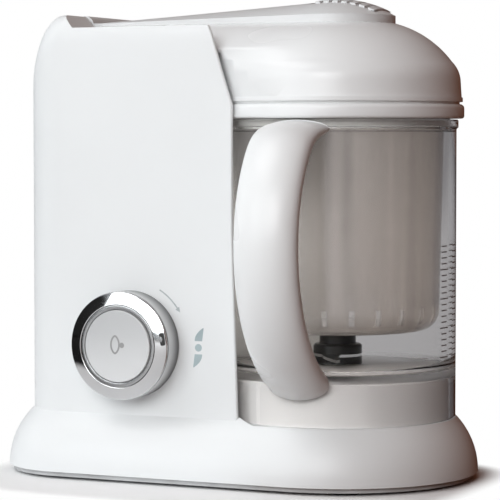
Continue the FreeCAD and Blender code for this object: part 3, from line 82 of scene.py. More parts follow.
# Sizes are written in millimetres about the jug's axis and turned into metres in the shared frame
MM = 0.001
WELD = 0.001 * MM
CAD_WELD = 0.002 * MM


# Boxes of the CAD nodes, with the middle in metres and the rest in millimetres

def middle(node):
    low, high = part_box(node)
    return (low + high) / 2


def span(node):
    low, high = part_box(node)
    return (high - low) / MM


def bottom(node):
    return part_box(node)[0].z / MM


def top(node):
    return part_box(node)[1].z / MM


JUG_AXIS = middle("bowl")
KNOB_AXIS = middle("knob_ring")
KNOB_GAP = 0.6
COLUMN_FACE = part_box("knob_ring")[1].y + KNOB_GAP * MM

# Jug and the band of its lid
LIP_RADIUS = span("bowl").x / 2
LIP = 1.0
LIP_HEIGHT = 5.0
WALL_RADIUS = LIP_RADIUS - LIP
WALL = 3.0
JUG_FLOOR = bottom("bowl_bush")
JUG_FLOOR_THICK = 2.5
JUG_FLOOR_ROUND = 7.0
JUG_HOLE = 8.1
JUG_FOOT_MATT = 0.35
LEDGE = 1.2
LEDGE_DEPTH = 6.0
LID_BAND_WALL = 5.0

# Handle
HANDLE_TURN = 3.0
HANDLE_WIDTH = 33.0
HANDLE_THICK = 18.5
HANDLE_END_THICK = 9.0
HANDLE_FOOT_THICK = 17.0
HANDLE_ARC = 70.6
HANDLE_LOW_ARC = 77.0
HANDLE_REACH = 43.4
HANDLE_MID = 93.0
HANDLE_DROP = 4.7
HANDLE_ARM_TILT = 10.0
HANDLE_BEND = 40.0
HANDLE_ARM = 13.5
HANDLE_KNEE = 13.0

# Hub of the blade
HUB_RADIUS = 9.6
HUB_BORE = 4.0
HUB_CROWN = 4.5
HUB_COLLAR = 5.0
HUB_SKIRT = 12.8
HUB_SKIRT_IN = 11.5
HUB_SKIRT_DEPTH = 3.5

# Knob and button
KNOB_RADIUS = span("knob_ring").x / 2
KNOB_DEPTH = 16.0
KNOB_BEVEL = 2.0
KNOB_RIM = 3.0
KNOB_SHELF = 9.0
KNOB_BORE_GAP = 0.1
KNOB_SIDE_FACING = 0.2
SEAM_START = 0.8
SEAM_END = 1.6
BEZEL_OUT = span("button_bezel").x / 2
BEZEL_BACK = 6.0
BEZEL_SUNK = 0.3
BUTTON_RADIUS = span("button_cap").x / 2
BUTTON_DISH = 0.25
BUTTON_GAP = 0.3
BUTTON_THICK = 4.0
BUTTON_STEM = 3.0

# Printed signs, placed from the knob's middle
PRINT_LOW = 0.01
PRINT_HIGH = 0.06
SIGN_X = 38.7
SIGN_Z = -0.6
LEAF_START = 3.4
LEAF_END = 10.2
LEAF_HALF = 2.1
LEAF_TIP = 3.0
LEAF_TIP_WIDTH = 0.4
LEAF_CURVE = 2.2
DOT_RADIUS = 1.95
ARROW_RADIUS = 33.0
ARROW_START = 60.0
ARROW_END = 36.0
ARROW_WIDTH = 0.7
ARROW_HEAD = 2.6
STEAM_WIDTH = 4.6
STEAM_HEIGHT = 9.0
STEAM_LINE = 0.95
STEAM_CURVE = 1.3
STEAM_X = -1.3
STEAM_Z = 0.8
PUFF_RADIUS = 1.4
PUFF_X = STEAM_WIDTH / 2 + 0.3
PUFF_Z = 0.6
POINTER_ANGLE = 10.0
POINTER_RADIUS = 25.6
POINTER_WIDTH = 2.4
POINTER_LENGTH = 6.6
POINTER_ROUND = 0.7

# Graduation marks, in columns of (angle round the jug, width)
TICK_LOW = 66.0
TICK_HIGH = 123.0
TICK_STEP = 3.0
TICK_COLUMNS = ((-6.0, 6.0), (8.0, 8.0))
TICK_LINE = 0.6
TICK_THICK = 0.12
TICK_EVERY = 5.0
TICK_LONGER = 1.5

# Screws under the base
SCREW_HEAD = 1.0
SCREW_RADIUS = 3.0
SCREW_SIDES = 40
SLOT_LENGTH = 3.6
SLOT_WIDTH = 0.9
SLOT_DROP = 0.4

# Camera, fitted to the jug's rim, the base and the column
PHOTO_LENS = 169.9
SENSOR = 36.0
PHOTO_AZIMUTH = 24.5
PHOTO_PITCH = 2.84
CAMERA_SPOT = (472.2, -1147.6)
CAMERA_HEIGHT = 181.0

# Room and floor, in metres, where a turn is how far a direction points to the right or the dark side
WHITE = (1.0, 1.0, 1.0)
DARK = (0.015, 0.015, 0.015)
THROUGH_JUG = (0.41, 0.41, 0.43)
THROUGH_EDGE = (0.13, 0.13, 0.14)
ROOM_LEFT = (0.33, 0.345, 0.36)
ROOM_RIGHT = (0.105, 0.040, 0.022)
FLOOR_LEFT = (0.80, 0.81, 0.82)
FLOOR_RIGHT = (0.15, 0.07, 0.045)
RIGHT = (math.cos(math.radians(PHOTO_AZIMUTH)), math.sin(math.radians(PHOTO_AZIMUTH)), 0.0)
DARK_SIDE = (-0.88, -0.45, 0.0)
ROOM_TURN = (-0.40, 0.20)
FLOOR_TURN = (-0.35, 0.45)
DARK_TURN = (0.80, 0.88)
BENT_TURN = (0.06, 0.36)
DARK_AWAY = (0.26, 0.34)
BENT_AWAY = (1.2, 2.2)
FLOOR_FADE = (0.95, 1.25)
FLOOR_REACH = 8.0
LIGHT_AIM = (0.0, 0.0, 0.13)


def at(x, y, z):
    """A place given in millimetres from the jug's axis."""
    return Vector((JUG_AXIS.x + x * MM, JUG_AXIS.y + y * MM, z * MM))


def on_jug(angle, radius, z):
    """A place given by its angle round the jug, where 0 is to the right and 90 to the back."""
    turn = math.radians(angle)
    return at(radius * math.cos(turn), radius * math.sin(turn), z)


def on_knob(angle, radius, height):
    """A place on a turned piece of the knob, whose height stands out from the column's face."""
    turn = math.radians(angle)
    return Vector((KNOB_AXIS.x + radius * MM * math.cos(turn), COLUMN_FACE - height * MM,
                   KNOB_AXIS.z + radius * MM * math.sin(turn)))


# Meshes

def put_in_scene(name, data):
    made = bpy.data.objects.new(name, data)
    bpy.context.scene.collection.objects.link(made)
    return made


def welded(mesh, distance):
    """A working copy of a mesh, with the points that lie together joined."""
    work = bmesh.new()
    work.from_mesh(mesh)
    bmesh.ops.remove_doubles(work, verts=work.verts, dist=distance)
    return work


def shade(mesh, sharp=35.0):
    """Smooth shading, with edges kept sharp past an angle in degrees."""
    mesh.polygons.foreach_set("use_smooth", [True] * len(mesh.polygons))
    mesh.set_sharp_from_angle(angle=math.radians(sharp))


def piece(name, verts, faces, sharp=35.0):
    """A closed mesh object whose faces point outwards."""
    mesh = bpy.data.meshes.new(name)
    mesh.from_pydata([tuple(v) for v in verts], [], faces)
    work = welded(mesh, WELD)
    bmesh.ops.recalc_face_normals(work, faces=work.faces)
    work.to_mesh(mesh)
    work.free()
    shade(mesh, sharp)
    return put_in_scene(name, mesh)


def cad_copy(node, name, sharp=30.0):
    """A welded copy of a CAD node with smooth shading, which stands for the node."""
    mesh = frame["nodes"][node].data.copy()
    mesh.materials.clear()
    if "custom_normal" in mesh.attributes:
        mesh.attributes.remove(mesh.attributes["custom_normal"])
    work = welded(mesh, CAD_WELD)
    work.to_mesh(mesh)
    work.free()
    shade(mesh, sharp)
    return put_in_scene(name, mesh)


def soften(corners, steps=5):
    """A closed outline from (a, b, round) corners, with an arc at each corner that has a round."""
    line = []
    count = len(corners)
    for index, (a, b, round_off) in enumerate(corners):
        here = Vector((a, b))
        if round_off == 0.0:
            line.append(here)
            continue
        before = Vector(corners[index - 1][:2]) - here
        after = Vector(corners[(index + 1) % count][:2]) - here
        half = before.angle(after) / 2
        reach = round_off / math.tan(half)
        before.normalize()
        after.normalize()
        centre = here + (before + after).normalized() * (round_off / math.sin(half))
        start = here + before * reach - centre
        end = here + after * reach - centre
        sweep = start.angle_signed(end)
        for step in range(steps + 1):
            turn = -sweep * step / steps
            line.append(centre + Matrix.Rotation(turn, 2) @ start)
    return line


def lathe(name, corners, place, steps=144):
    """A solid turned from a closed outline of (radius, height, round) corners.

    place(angle, radius, height) puts a point of it in the shared frame."""
    line = soften(corners)
    verts = []
    faces = []
    for step in range(steps):
        for radius, height in line:
            verts.append(place(360.0 * step / steps, max(radius, 0.0), height))
    count = len(line)
    for step in range(steps):
        this = step * count
        following = (step + 1) % steps * count
        for index in range(count):
            after = (index + 1) % count
            if line[index].x <= 0.0 and line[after].x <= 0.0:
                continue
            faces.append((this + index, this + after, following + after, following + index))
    return piece(name, verts, faces)


# Nodes

def mixed(tree, amount, low, high):
    """A colour between two, each a colour or the output of a node."""
    mix = tree.nodes.new("ShaderNodeMix")
    mix.data_type = "RGBA"
    tree.links.new(amount, mix.inputs["Factor"])
    for name, colour in (("A", low), ("B", high)):
        if isinstance(colour, tuple):
            mix.inputs[name].default_value = (*colour, 1.0)
        else:
            tree.links.new(colour, mix.inputs[name])
    return mix.outputs["Result"]


def smooth(tree, amount, start, end):
    """A number that rises smoothly from 0 at start to 1 at end."""
    rise = tree.nodes.new("ShaderNodeMapRange")
    rise.interpolation_type = "SMOOTHSTEP"
    rise.inputs["From Min"].default_value = start
    rise.inputs["From Max"].default_value = end
    tree.links.new(amount, rise.inputs["Value"])
    return rise.outputs["Result"]


def number_math(tree, operation, first, second):
    node = tree.nodes.new("ShaderNodeMath")
    node.operation = operation
    tree.links.new(first, node.inputs[0])
    tree.links.new(second, node.inputs[1])
    return node.outputs["Value"]


def product(tree, first, second):
    return number_math(tree, "MULTIPLY", first, second)


def vector_math(tree, operation, first, second=None):
    """A vector sum, whose second part is a vector or the output of a node."""
    node = tree.nodes.new("ShaderNodeVectorMath")
    node.operation = operation
    tree.links.new(first, node.inputs[0])
    if isinstance(second, tuple):
        node.inputs[1].default_value = second
    elif second:
        tree.links.new(second, node.inputs[1])
    return node.outputs["Value" if operation in ("LENGTH", "DOT_PRODUCT") else "Vector"]


def toward(tree, source, direction, start, end):
    """How far a direction points towards another, from 0 at start to 1 at end."""
    unit = vector_math(tree, "NORMALIZE", source)
    aim = tuple(Vector(direction).normalized())
    return smooth(tree, vector_math(tree, "DOT_PRODUCT", unit, aim), start, end)


# Finishes

class Finish:
    """A material of nodes on the piece's own coordinates."""

    def __init__(self, name):
        self.material = bpy.data.materials.new(name)
        self.material.use_nodes = True
        self.tree = self.material.node_tree
        self.shader = self.tree.nodes["Principled BSDF"]
        self.coords = self.add("ShaderNodeTexCoord").outputs["Object"]

    def add(self, kind, **settings):
        node = self.tree.nodes.new(kind)
        for key, value in settings.items():
            setattr(node, key, value)
        return node

    def join(self, source, target):
        self.tree.links.new(source, target)

    def moved(self, centre=(0, 0, 0), stretch=(1, 1, 1)):
        """Coordinates about a centre, stretched along the axes."""
        node = self.add("ShaderNodeMapping", vector_type="POINT")
        node.inputs["Location"].default_value = [-c * s for c, s in zip(centre, stretch)]
        node.inputs["Scale"].default_value = stretch
        self.join(self.coords, node.inputs["Vector"])
        return node.outputs["Vector"]

    def along(self, axis, coords=None):
        """The coordinate along one axis, in metres."""
        node = self.add("ShaderNodeSeparateXYZ")
        self.join(coords or self.coords, node.inputs["Vector"])
        return node.outputs[axis]

    def noise(self, scale, detail=2.0, coords=None):
        node = self.add("ShaderNodeTexNoise")
        node.inputs["Scale"].default_value = scale
        node.inputs["Detail"].default_value = detail
        self.join(coords or self.coords, node.inputs["Vector"])
        return node.outputs["Fac"]

    def between(self, amount, low, high):
        """A number that runs from low to high over the middle of a noise's range."""
        node = self.add("ShaderNodeMapRange")
        node.inputs["From Min"].default_value = 0.3
        node.inputs["From Max"].default_value = 0.7
        node.inputs["To Min"].default_value = low
        node.inputs["To Max"].default_value = high
        self.join(amount, node.inputs["Value"])
        return node.outputs["Result"]

    def shades(self, amount, low, high):
        """A colour that runs from low to high over the middle of a noise's range."""
        return mixed(self.tree, self.between(amount, 0.0, 1.0), low, high)

    def colour(self, source):
        self.join(source, self.shader.inputs["Base Color"])

    def roughness(self, source):
        self.join(source, self.shader.inputs["Roughness"])

    def bump(self, height, depth):
        """Relief with a depth in millimetres."""
        node = self.add("ShaderNodeBump")
        node.inputs["Strength"].default_value = 1.0
        node.inputs["Distance"].default_value = depth * MM
        self.join(height, node.inputs["Height"])
        self.join(node.outputs["Normal"], self.shader.inputs["Normal"])

    def set(self, **values):
        """Set the shader's inputs, each named in small letters."""
        for name, value in values.items():
            socket = name.replace("_", " ").title().replace("Ior", "IOR")
            self.shader.inputs[socket].default_value = value

    def give_way(self, amount, shader):
        """Let another shader take the place of the piece's own by an amount."""
        mix = self.add("ShaderNodeMixShader")
        self.join(amount, mix.inputs[0])
        self.join(self.shader.outputs["BSDF"], mix.inputs[1])
        self.join(shader, mix.inputs[2])
        self.join(mix.outputs["Shader"], self.tree.nodes["Material Output"].inputs["Surface"])

    def let_light_through(self, colour):
        """Lamps shine through the piece, as they do through a real thin clear wall."""
        path = self.add("ShaderNodeLightPath")
        clear = self.add("ShaderNodeBsdfTransparent")
        clear.inputs["Color"].default_value = (*colour, 1.0)
        self.give_way(path.outputs["Is Shadow Ray"], clear.outputs["BSDF"])


def tint(colour, factor):
    return tuple(min(c * factor, 1.0) for c in colour)


def moulded(name, colour, rough):
    """Moulded plastic with a faint cloudiness and a fine grain."""
    made = Finish(name)
    cloud = made.noise(14.0, 3.0)
    sheen = made.noise(25.0, 1.0)
    grain = made.noise(2600.0)
    made.colour(made.shades(cloud, tint(colour, 0.99), tint(colour, 1.01)))
    made.roughness(made.between(sheen, rough - 0.01, rough + 0.015))
    made.bump(grain, 0.003)
    made.set(ior=1.5)
    return made.material


def clear_plastic(name, colour):
    """Clear plastic with faint wiping marks, matt round the edge of the jug's floor."""
    made = Finish(name)
    cloud = made.noise(9.0)
    wiped = made.noise(240.0, 5.0, made.moved(stretch=(1.0, 1.0, 0.2)))
    made.colour(made.shades(cloud, tint(colour, 0.99), tint(colour, 1.01)))
    height = made.along("Z")
    floor = (JUG_FLOOR + JUG_FLOOR_THICK) * MM
    below = smooth(made.tree, height, floor + 1 * MM, floor)
    above = smooth(made.tree, height, (JUG_FLOOR - 2) * MM, (JUG_FLOOR - 1) * MM)
    matt = made.add("ShaderNodeMath", operation="MULTIPLY_ADD")
    made.join(product(made.tree, below, above), matt.inputs[0])
    matt.inputs[1].default_value = JUG_FOOT_MATT
    made.join(made.between(wiped, 0.0, 0.02), matt.inputs[2])
    made.roughness(matt.outputs["Value"])
    made.bump(made.noise(30.0), 0.01)
    made.set(ior=1.46, transmission_weight=1.0, specular_tint=(0.15, 0.15, 0.15, 1.0))
    made.let_light_through((0.95, 0.945, 0.94))
    return made.material


def frosted_plastic(name, left, right):
    """Frosted plastic, a little milky, drawn upwards in streaks that are partly its moulded texture and
    partly painted reflection, with painted light from the room that makes it lighter and cooler on the
    left and darker and warmer towards the right.
    """
    made = Finish(name)
    drawn = made.moved(stretch=(1.0, 1.0, 0.03))
    streaks = made.noise(110.0, 3.0, drawn)
    ridges = made.noise(110.0, 2.0, drawn)
    tooth = made.noise(140.0, 4.0)
    # Painted light from the room: lighter and cooler on the left, darker and warmer towards the right
    side = made.along("X", made.moved(centre=tuple(JUG_AXIS)))
    across = smooth(made.tree, side, -40 * MM, 45 * MM)
    dark = mixed(made.tree, across, tint(left, 0.86), tint(right, 0.86))
    light = mixed(made.tree, across, tint(left, 1.1), tint(right, 1.1))
    # The colour streaks are partly moulded texture and partly painted reflection
    made.colour(made.shades(streaks, dark, light))
    made.roughness(made.between(tooth, 0.16, 0.24))
    made.bump(ridges, 0.12)
    made.set(ior=1.3, transmission_weight=0.88)
    made.let_light_through((0.85, 0.84, 0.83))
    return made.material


def metal(name, colour, rough, streak=None, depth=0.0):
    """Bare metal, polished or with fine streaks along an axis."""
    made = Finish(name)
    coords = made.moved(stretch=streak) if streak else None
    cloud = made.noise(40.0, 4.0, coords)
    wear = made.noise(170.0, 4.0, coords)
    made.colour(made.shades(cloud, tint(colour, 0.94), tint(colour, 1.03)))
    made.roughness(made.between(wear, max(rough - 0.03, 0.02), rough + 0.04))
    if depth:
        made.bump(made.noise(900.0, 2.0, coords), depth)
    made.set(metallic=1.0)
    return made.material


def silver_paint(name, high, low, rough):
    """Silver paint over fine turned rings about the knob's axis, with a painted reflection that makes
    it lighter towards its lower edge.
    """
    made = Finish(name)
    centred = made.moved(centre=tuple(KNOB_AXIS))
    height = made.along("Z", centred)
    # Painted reflection: the colour runs from the lighter lower edge to the darker top
    painted_reflection_fall = smooth(made.tree, height, -BUTTON_RADIUS * MM, BUTTON_RADIUS * MM)
    cloud = made.shades(made.noise(60.0, 4.0), tint(low, 0.98), tint(low, 1.02))
    rings = made.add("ShaderNodeTexWave", wave_type="RINGS", rings_direction="Y")
    rings.inputs["Scale"].default_value = 900.0
    rings.inputs["Distortion"].default_value = 1.5
    rings.inputs["Detail"].default_value = 2.0
    made.join(centred, rings.inputs["Vector"])
    made.colour(mixed(made.tree, painted_reflection_fall, cloud, high))
    made.roughness(made.between(rings.outputs["Fac"], rough - 0.04, rough + 0.05))
    made.bump(rings.outputs["Fac"], 0.002)
    made.set(metallic=0.3)
    return made.material


def brushed_side(name, front, back, seam):
    """Brushed metal round the knob, with painted shade that darkens it towards the column, and a dark
    line behind its bevel.
    """
    made = Finish(name)
    brushed = made.moved(stretch=(1.0, 0.1, 1.0))
    streaks = made.noise(60.0, 4.0, brushed)
    scores = made.noise(900.0, 2.0, brushed)
    depth = made.along("Y")
    edge = COLUMN_FACE - (KNOB_DEPTH - KNOB_BEVEL) * MM
    light = made.shades(streaks, tint(front, 0.93), tint(front, 1.06))
    # Painted shade: the side turns to the dark colour towards the column's face
    body = mixed(made.tree, smooth(made.tree, depth, edge + 2 * MM, COLUMN_FACE), light, back)
    line = smooth(made.tree, depth, edge + SEAM_END * MM, edge + SEAM_START * MM)
    made.colour(mixed(made.tree, line, body, seam))
    made.roughness(made.between(streaks, 0.28, 0.4))
    made.bump(scores, 0.004)
    made.set(metallic=0.7)
    return made.material


def dull(name, colour, rough, grain):
    """Rubber, fibre or dark plastic with a coarse tooth, or ink."""
    made = Finish(name)
    cloud = made.noise(60.0, 4.0)
    wear = made.noise(120.0, 3.0)
    tooth = made.noise(900.0, 3.0)
    made.colour(made.shades(cloud, tint(colour, 0.85), tint(colour, 1.12)))
    made.roughness(made.between(wear, rough - 0.08, rough + 0.08))
    made.bump(tooth, grain)
    return made.material


LID_WHITE = (0.83, 0.838, 0.84)
# The button's silver at its darker top and its lighter lower edge, where the lighter edge is painted
# reflection
BUTTON_SHADED_TOP = (0.52, 0.525, 0.53)
BUTTON_LIT_BOTTOM = (0.74, 0.745, 0.75)

shell_white = moulded("shell_white", (0.80, 0.815, 0.82), 0.36)
lid_white = moulded("lid_white", LID_WHITE, 0.26)
handle_white = moulded("handle_white", LID_WHITE, 0.28)
bar_white = moulded("bar_white", (0.74, 0.75, 0.755), 0.36)
inner_white = moulded("inner_white", LID_WHITE, 0.5)
jug_clear = clear_plastic("jug_clear", (0.93, 0.92, 0.905))
# The basket's left and right colours hold painted light from the room
basket_frosted = frosted_plastic("basket_frosted", (0.83, 0.825, 0.825), (0.78, 0.735, 0.70))
# Painted shade: the pedestal's white is darker than the housing's
pedestal_shaded_white = moulded("pedestal_shaded_white", (0.72, 0.71, 0.715), 0.3)
knob_chrome = metal("knob_chrome", (0.83, 0.832, 0.835), 0.08)
# The side's dark colour is painted shade towards the column
knob_side = brushed_side("knob_side", (0.66, 0.66, 0.665), (0.10, 0.10, 0.10), (0.05, 0.05, 0.05))
bezel_steel = metal("bezel_steel", (0.55, 0.555, 0.56), 0.18)
button_silver = silver_paint("button_silver", BUTTON_SHADED_TOP, BUTTON_LIT_BOTTOM, 0.5)
blade_steel = metal("blade_steel", (0.72, 0.725, 0.73), 0.16, streak=(1.0, 0.15, 1.0), depth=0.002)
hub_black = moulded("hub_black", (0.004, 0.004, 0.004), 0.3)
seal_silicone = dull("seal_silicone", (0.62, 0.62, 0.61), 0.5, 0.008)
foot_rubber = dull("foot_rubber", (0.035, 0.035, 0.036), 0.75, 0.05)
cover_grey = dull("cover_grey", (0.52, 0.525, 0.53), 0.6, 0.02)
inner_black = dull("inner_black", (0.03, 0.03, 0.032), 0.5, 0.01)
steel_plain = metal("steel_plain", (0.60, 0.605, 0.61), 0.3, streak=(1.0, 1.0, 0.1), depth=0.003)
screw_zinc = metal("screw_zinc", (0.62, 0.63, 0.64), 0.28)
heater_cast = metal("heater_cast", (0.58, 0.58, 0.585), 0.5, depth=0.03)
bush_bronze = metal("bush_bronze", (0.55, 0.36, 0.16), 0.4)
board_green = dull("board_green", (0.03, 0.16, 0.07), 0.4, 0.005)
sign_ink = dull("sign_ink", (0.37, 0.45, 0.47), 0.5, 0.002)
arrow_ink = dull("arrow_ink", (0.46, 0.50, 0.51), 0.5, 0.002)
steam_ink = dull("steam_ink", (0.30, 0.30, 0.30), 0.5, 0.002)
pointer_ink = dull("pointer_ink", (0.012, 0.012, 0.012), 0.5, 0.002)
mark_ink = dull("mark_ink", (0.24, 0.24, 0.25), 0.5, 0.002)

# CAD nodes that keep their own shape, by their finish
CAD_FINISHES = (
    (shell_white, ("deck_plate",)),
    (pedestal_shaded_white, ("bowl_pedestal",)),
    (cover_grey, ("bottom_cover",)),
    (inner_white, ("lid_inner_plate", "steam_plate", "latch_strip")),
    (foot_rubber, ("rubber_feet", "cord_inlet", "drive_belt")),
    (seal_silicone, ("lid_seal", "boiler_gasket", "bowl_seal")),
    (hub_black, ("bowl_bush", "blade_coupling")),
    (inner_black, ("drive_coupling", "drive_pulley", "motor_pulley", "motor_end_cap",
                   "selector_switch", "lid_switch", "knob_hub", "board_relay")),
    (blade_steel, ("blade_shaft",)),
    (steel_plain, ("boiler_cup", "motor_can", "motor_armature", "motor_shaft", "motor_bracket",
                   "drive_spindle", "thermostat", "thermal_fuse", "hinge_pin")),
    (heater_cast, ("boiler_heater", "board_capacitor")),
    (screw_zinc, ("pedestal_screws", "bracket_screws", "motor_screws", "boiler_screws",
                  "board_screws", "latch_spring")),
    (bush_bronze, ("spindle_bushes",)),
    (board_green, ("control_board",)),
)


def dress(made, finish, node):
    """Give a piece its finish and let it stand for a CAD node."""
    made.data.materials.clear()
    made.data.materials.append(finish)
    body = frame["nodes"][node]["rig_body"]
    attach(made, body)
    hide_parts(node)
    return made


def dress_cad_nodes():
    for finish, nodes in CAD_FINISHES:
        for node in nodes:
            mesh = frame["nodes"][node].data
            mesh.materials.clear()
            mesh.materials.append(finish)


# Pieces

def make_shells():
    dress(cad_copy("housing", "column_and_base"), shell_white, "housing")
    dress(cad_copy("lid_dome", "lid_cover", 80.0), lid_white, "lid_dome")
    dress(cad_copy("lid_bar", "lid_bridge"), bar_white, "lid_bar")
    dress(cad_copy("latch_slider", "lid_slider"), bar_white, "latch_slider")
    dress(cad_copy("steam_basket", "basket"), basket_frosted, "steam_basket")
    dress(cad_copy("blade", "chopping_blade"), blade_steel, "blade")


def make_jug():
    low = bottom("bowl")
    rim = top("bowl")
    inside = WALL_RADIUS - WALL
    lip = rim - LIP_HEIGHT
    floor = JUG_FLOOR + JUG_FLOOR_THICK
    corners = [(inside, low, 0.6), (WALL_RADIUS, low, 0.8), (WALL_RADIUS, lip, 0.4),
               (LIP_RADIUS, lip + LIP, 0.4), (LIP_RADIUS, rim, 0.8), (inside + LEDGE, rim, 0.5),
               (inside + LEDGE, rim - LEDGE_DEPTH, 0.3), (inside, rim - LEDGE_DEPTH, 0.3),
               (inside, floor, JUG_FLOOR_ROUND), (JUG_HOLE, floor, 0.3), (JUG_HOLE, JUG_FLOOR, 0.3),
               (inside, JUG_FLOOR, 1.5)]
    dress(lathe("jug", corners, on_jug), jug_clear, "bowl")


def ease(share):
    return share * share * (3 - 2 * share)


def handle_line():
    """Stations down the handle as (reach, height, heading, thickness), close together."""
    tilt = math.radians(HANDLE_ARM_TILT)
    grip = tilt + math.radians(HANDLE_BEND)
    root = WALL_RADIUS - HANDLE_END_THICK / 2
    middle_out = Vector((root + HANDLE_REACH + HANDLE_END_THICK / 2, bottom("bowl") + HANDLE_MID))
    foot = math.pi - math.asin(1 - (middle_out.x - root) / HANDLE_LOW_ARC)
    start = Vector((root, top("bowl") - HANDLE_DROP))
    end = middle_out + HANDLE_ARC * Vector((math.sin(grip) - 1, math.cos(grip)))
    arm = start + HANDLE_ARM * Vector((math.cos(tilt), -math.sin(tilt)))
    knee = end - HANDLE_KNEE * Vector((math.cos(grip), -math.sin(grip)))
    arm_steps = 18
    grip_steps = 40
    stations = []
    for step in range(arm_steps):
        share = step / arm_steps
        rest = 1 - share
        spot = (rest ** 3 * start + 3 * rest ** 2 * share * arm
                + 3 * rest * share ** 2 * knee + share ** 3 * end)
        along = (rest ** 2 * (arm - start) + 2 * rest * share * (knee - arm)
                 + share ** 2 * (end - knee))
        thick = HANDLE_END_THICK + ease(share) * (HANDLE_THICK - HANDLE_END_THICK)
        stations.append((spot.x, spot.y, math.atan2(-along.y, along.x), thick))
    for step in range(grip_steps + 1):
        heading = grip + (foot - grip) * step / grip_steps
        share = max(2 * step / grip_steps - 1, 0.0)
        thick = HANDLE_THICK - share ** 2 * (HANDLE_THICK - HANDLE_FOOT_THICK)
        arc = HANDLE_ARC if heading < math.pi / 2 else HANDLE_LOW_ARC
        spot = middle_out + arc * Vector((math.sin(heading) - 1, math.cos(heading)))
        stations.append((spot.x, spot.y, heading, thick))
    return stations


def make_handle():
    """An oval grip swept from the rim to the jug's foot, whose ends lie on the jug's wall."""
    around = 48
    turn = math.radians(HANDLE_TURN)
    verts = []
    lip = top("bowl") - LIP_HEIGHT + LIP / 2
    stations = handle_line()
    for reach, z, heading, thick in stations:
        for step in range(around):
            angle = 2 * math.pi * step / around
            side = HANDLE_WIDTH / 2 * math.cos(angle)
            out = thick / 2 * math.sin(angle)
            y = -(reach + out * math.sin(heading))
            height = z + out * math.cos(heading)
            wall = LIP_RADIUS if height > lip else WALL_RADIUS
            y = min(y, -math.sqrt(wall ** 2 - side ** 2))
            verts.append(at(side * math.cos(turn) - y * math.sin(turn),
                            side * math.sin(turn) + y * math.cos(turn), height))
    faces = []
    for index in range(len(stations) - 1):
        for step in range(around):
            after = (step + 1) % around
            faces.append((index * around + step, index * around + after,
                          (index + 1) * around + after, (index + 1) * around + step))
    last = (len(stations) - 1) * around
    faces.append(tuple(range(around)))
    faces.append(tuple(range(last, last + around)))
    grip = piece("jug_handle", verts, faces, sharp=60.0)
    dress(grip, handle_white, "bowl_handle")


def make_lid_ring():
    low = bottom("lid_ring")
    high = top("lid_ring")
    radius = span("lid_ring").x / 2
    inside = radius - LID_BAND_WALL
    corners = [(inside, low, 0.5), (radius, low, 1.4), (radius, high, 2.2), (inside, high, 0.5)]
    dress(lathe("lid_band", corners, on_jug), lid_white, "lid_ring")


def make_knob():
    """The knob's ring with a brushed side, the thin surround inside it and the button."""
    wall_in = KNOB_RADIUS - KNOB_RIM
    bore = BEZEL_OUT + KNOB_BORE_GAP
    corners = [(wall_in, KNOB_GAP, 0.3), (KNOB_RADIUS, KNOB_GAP, 0.5),
               (KNOB_RADIUS, KNOB_DEPTH - KNOB_BEVEL, 1.0), (bore, KNOB_DEPTH, 0.4),
               (bore, KNOB_SHELF, 0.3), (wall_in, KNOB_SHELF, 0.3)]
    grip = dress(lathe("knob_grip", corners, on_knob), knob_chrome, "knob_ring")
    grip.data.materials.append(knob_side)
    for face in grip.data.polygons:
        if abs(face.normal.y) < KNOB_SIDE_FACING:
            face.material_index = 1
    inside = BUTTON_RADIUS + BUTTON_GAP
    front = KNOB_DEPTH - BEZEL_SUNK
    corners = [(inside, BEZEL_BACK, 0.2), (BEZEL_OUT, BEZEL_BACK, 0.2), (BEZEL_OUT, front, 0.3),
               (inside, front, 0.3)]
    dress(lathe("button_surround", corners, on_knob), bezel_steel, "button_bezel")
    back = KNOB_DEPTH - BUTTON_THICK
    stem_end = KNOB_DEPTH - span("button_cap").y
    corners = [(0.0, stem_end, 0.0), (BUTTON_STEM, stem_end, 0.3), (BUTTON_STEM, back, 0.5),
               (BUTTON_RADIUS, back, 0.4), (BUTTON_RADIUS, KNOB_DEPTH, 0.7),
               (0.0, KNOB_DEPTH - BUTTON_DISH, 0.0)]
    dress(lathe("button_face", corners, on_knob), button_silver, "button_cap")


def make_hub():
    """The hub, with a skirt over its bush and a collar over the blade that is moulded in."""
    low = bottom("blade_hub")
    high = top("blade_hub")
    blade_low = bottom("blade")
    blade_high = top("blade")
    under = low + HUB_SKIRT_DEPTH
    collar = blade_high + HUB_COLLAR
    bore_top = high - HUB_CROWN
    corners = [(HUB_BORE, under, 0.3), (HUB_SKIRT_IN, under, 0.0), (HUB_SKIRT_IN, low, 0.4),
               (HUB_SKIRT, low, 0.6), (HUB_SKIRT, blade_low, 0.4), (HUB_RADIUS, blade_low, 0.0),
               (HUB_RADIUS, blade_high, 0.0), (HUB_SKIRT, blade_high, 0.4),
               (HUB_SKIRT, collar, 1.6), (HUB_RADIUS, collar, 0.8), (HUB_RADIUS, high, 2.5),
               (0.0, high, 0.0), (0.0, bore_top, 0.0), (HUB_BORE, bore_top, 0.3)]
    dress(lathe("blade_hub_cap", corners, on_jug, steps=96), hub_black, "blade_hub")


def make_button_spring():
    """The spring behind the button, with a mesh of its own."""
    spring = cad_copy("button_spring", "press_spring")
    dress(spring, screw_zinc, "button_spring")
    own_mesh(spring)


# Prints

def by_knob(a, b, height):
    """A place on the column's face, from the knob's middle."""
    return Vector((KNOB_AXIS.x + a * MM, COLUMN_FACE - height * MM, KNOB_AXIS.z + b * MM))


def by_button(a, b, height):
    """A place on the button's face, which is hollowed a little towards its middle."""
    hollow = BUTTON_DISH * (1 - math.hypot(a, b) / BUTTON_RADIUS)
    return by_knob(a, b, KNOB_DEPTH - hollow + height)


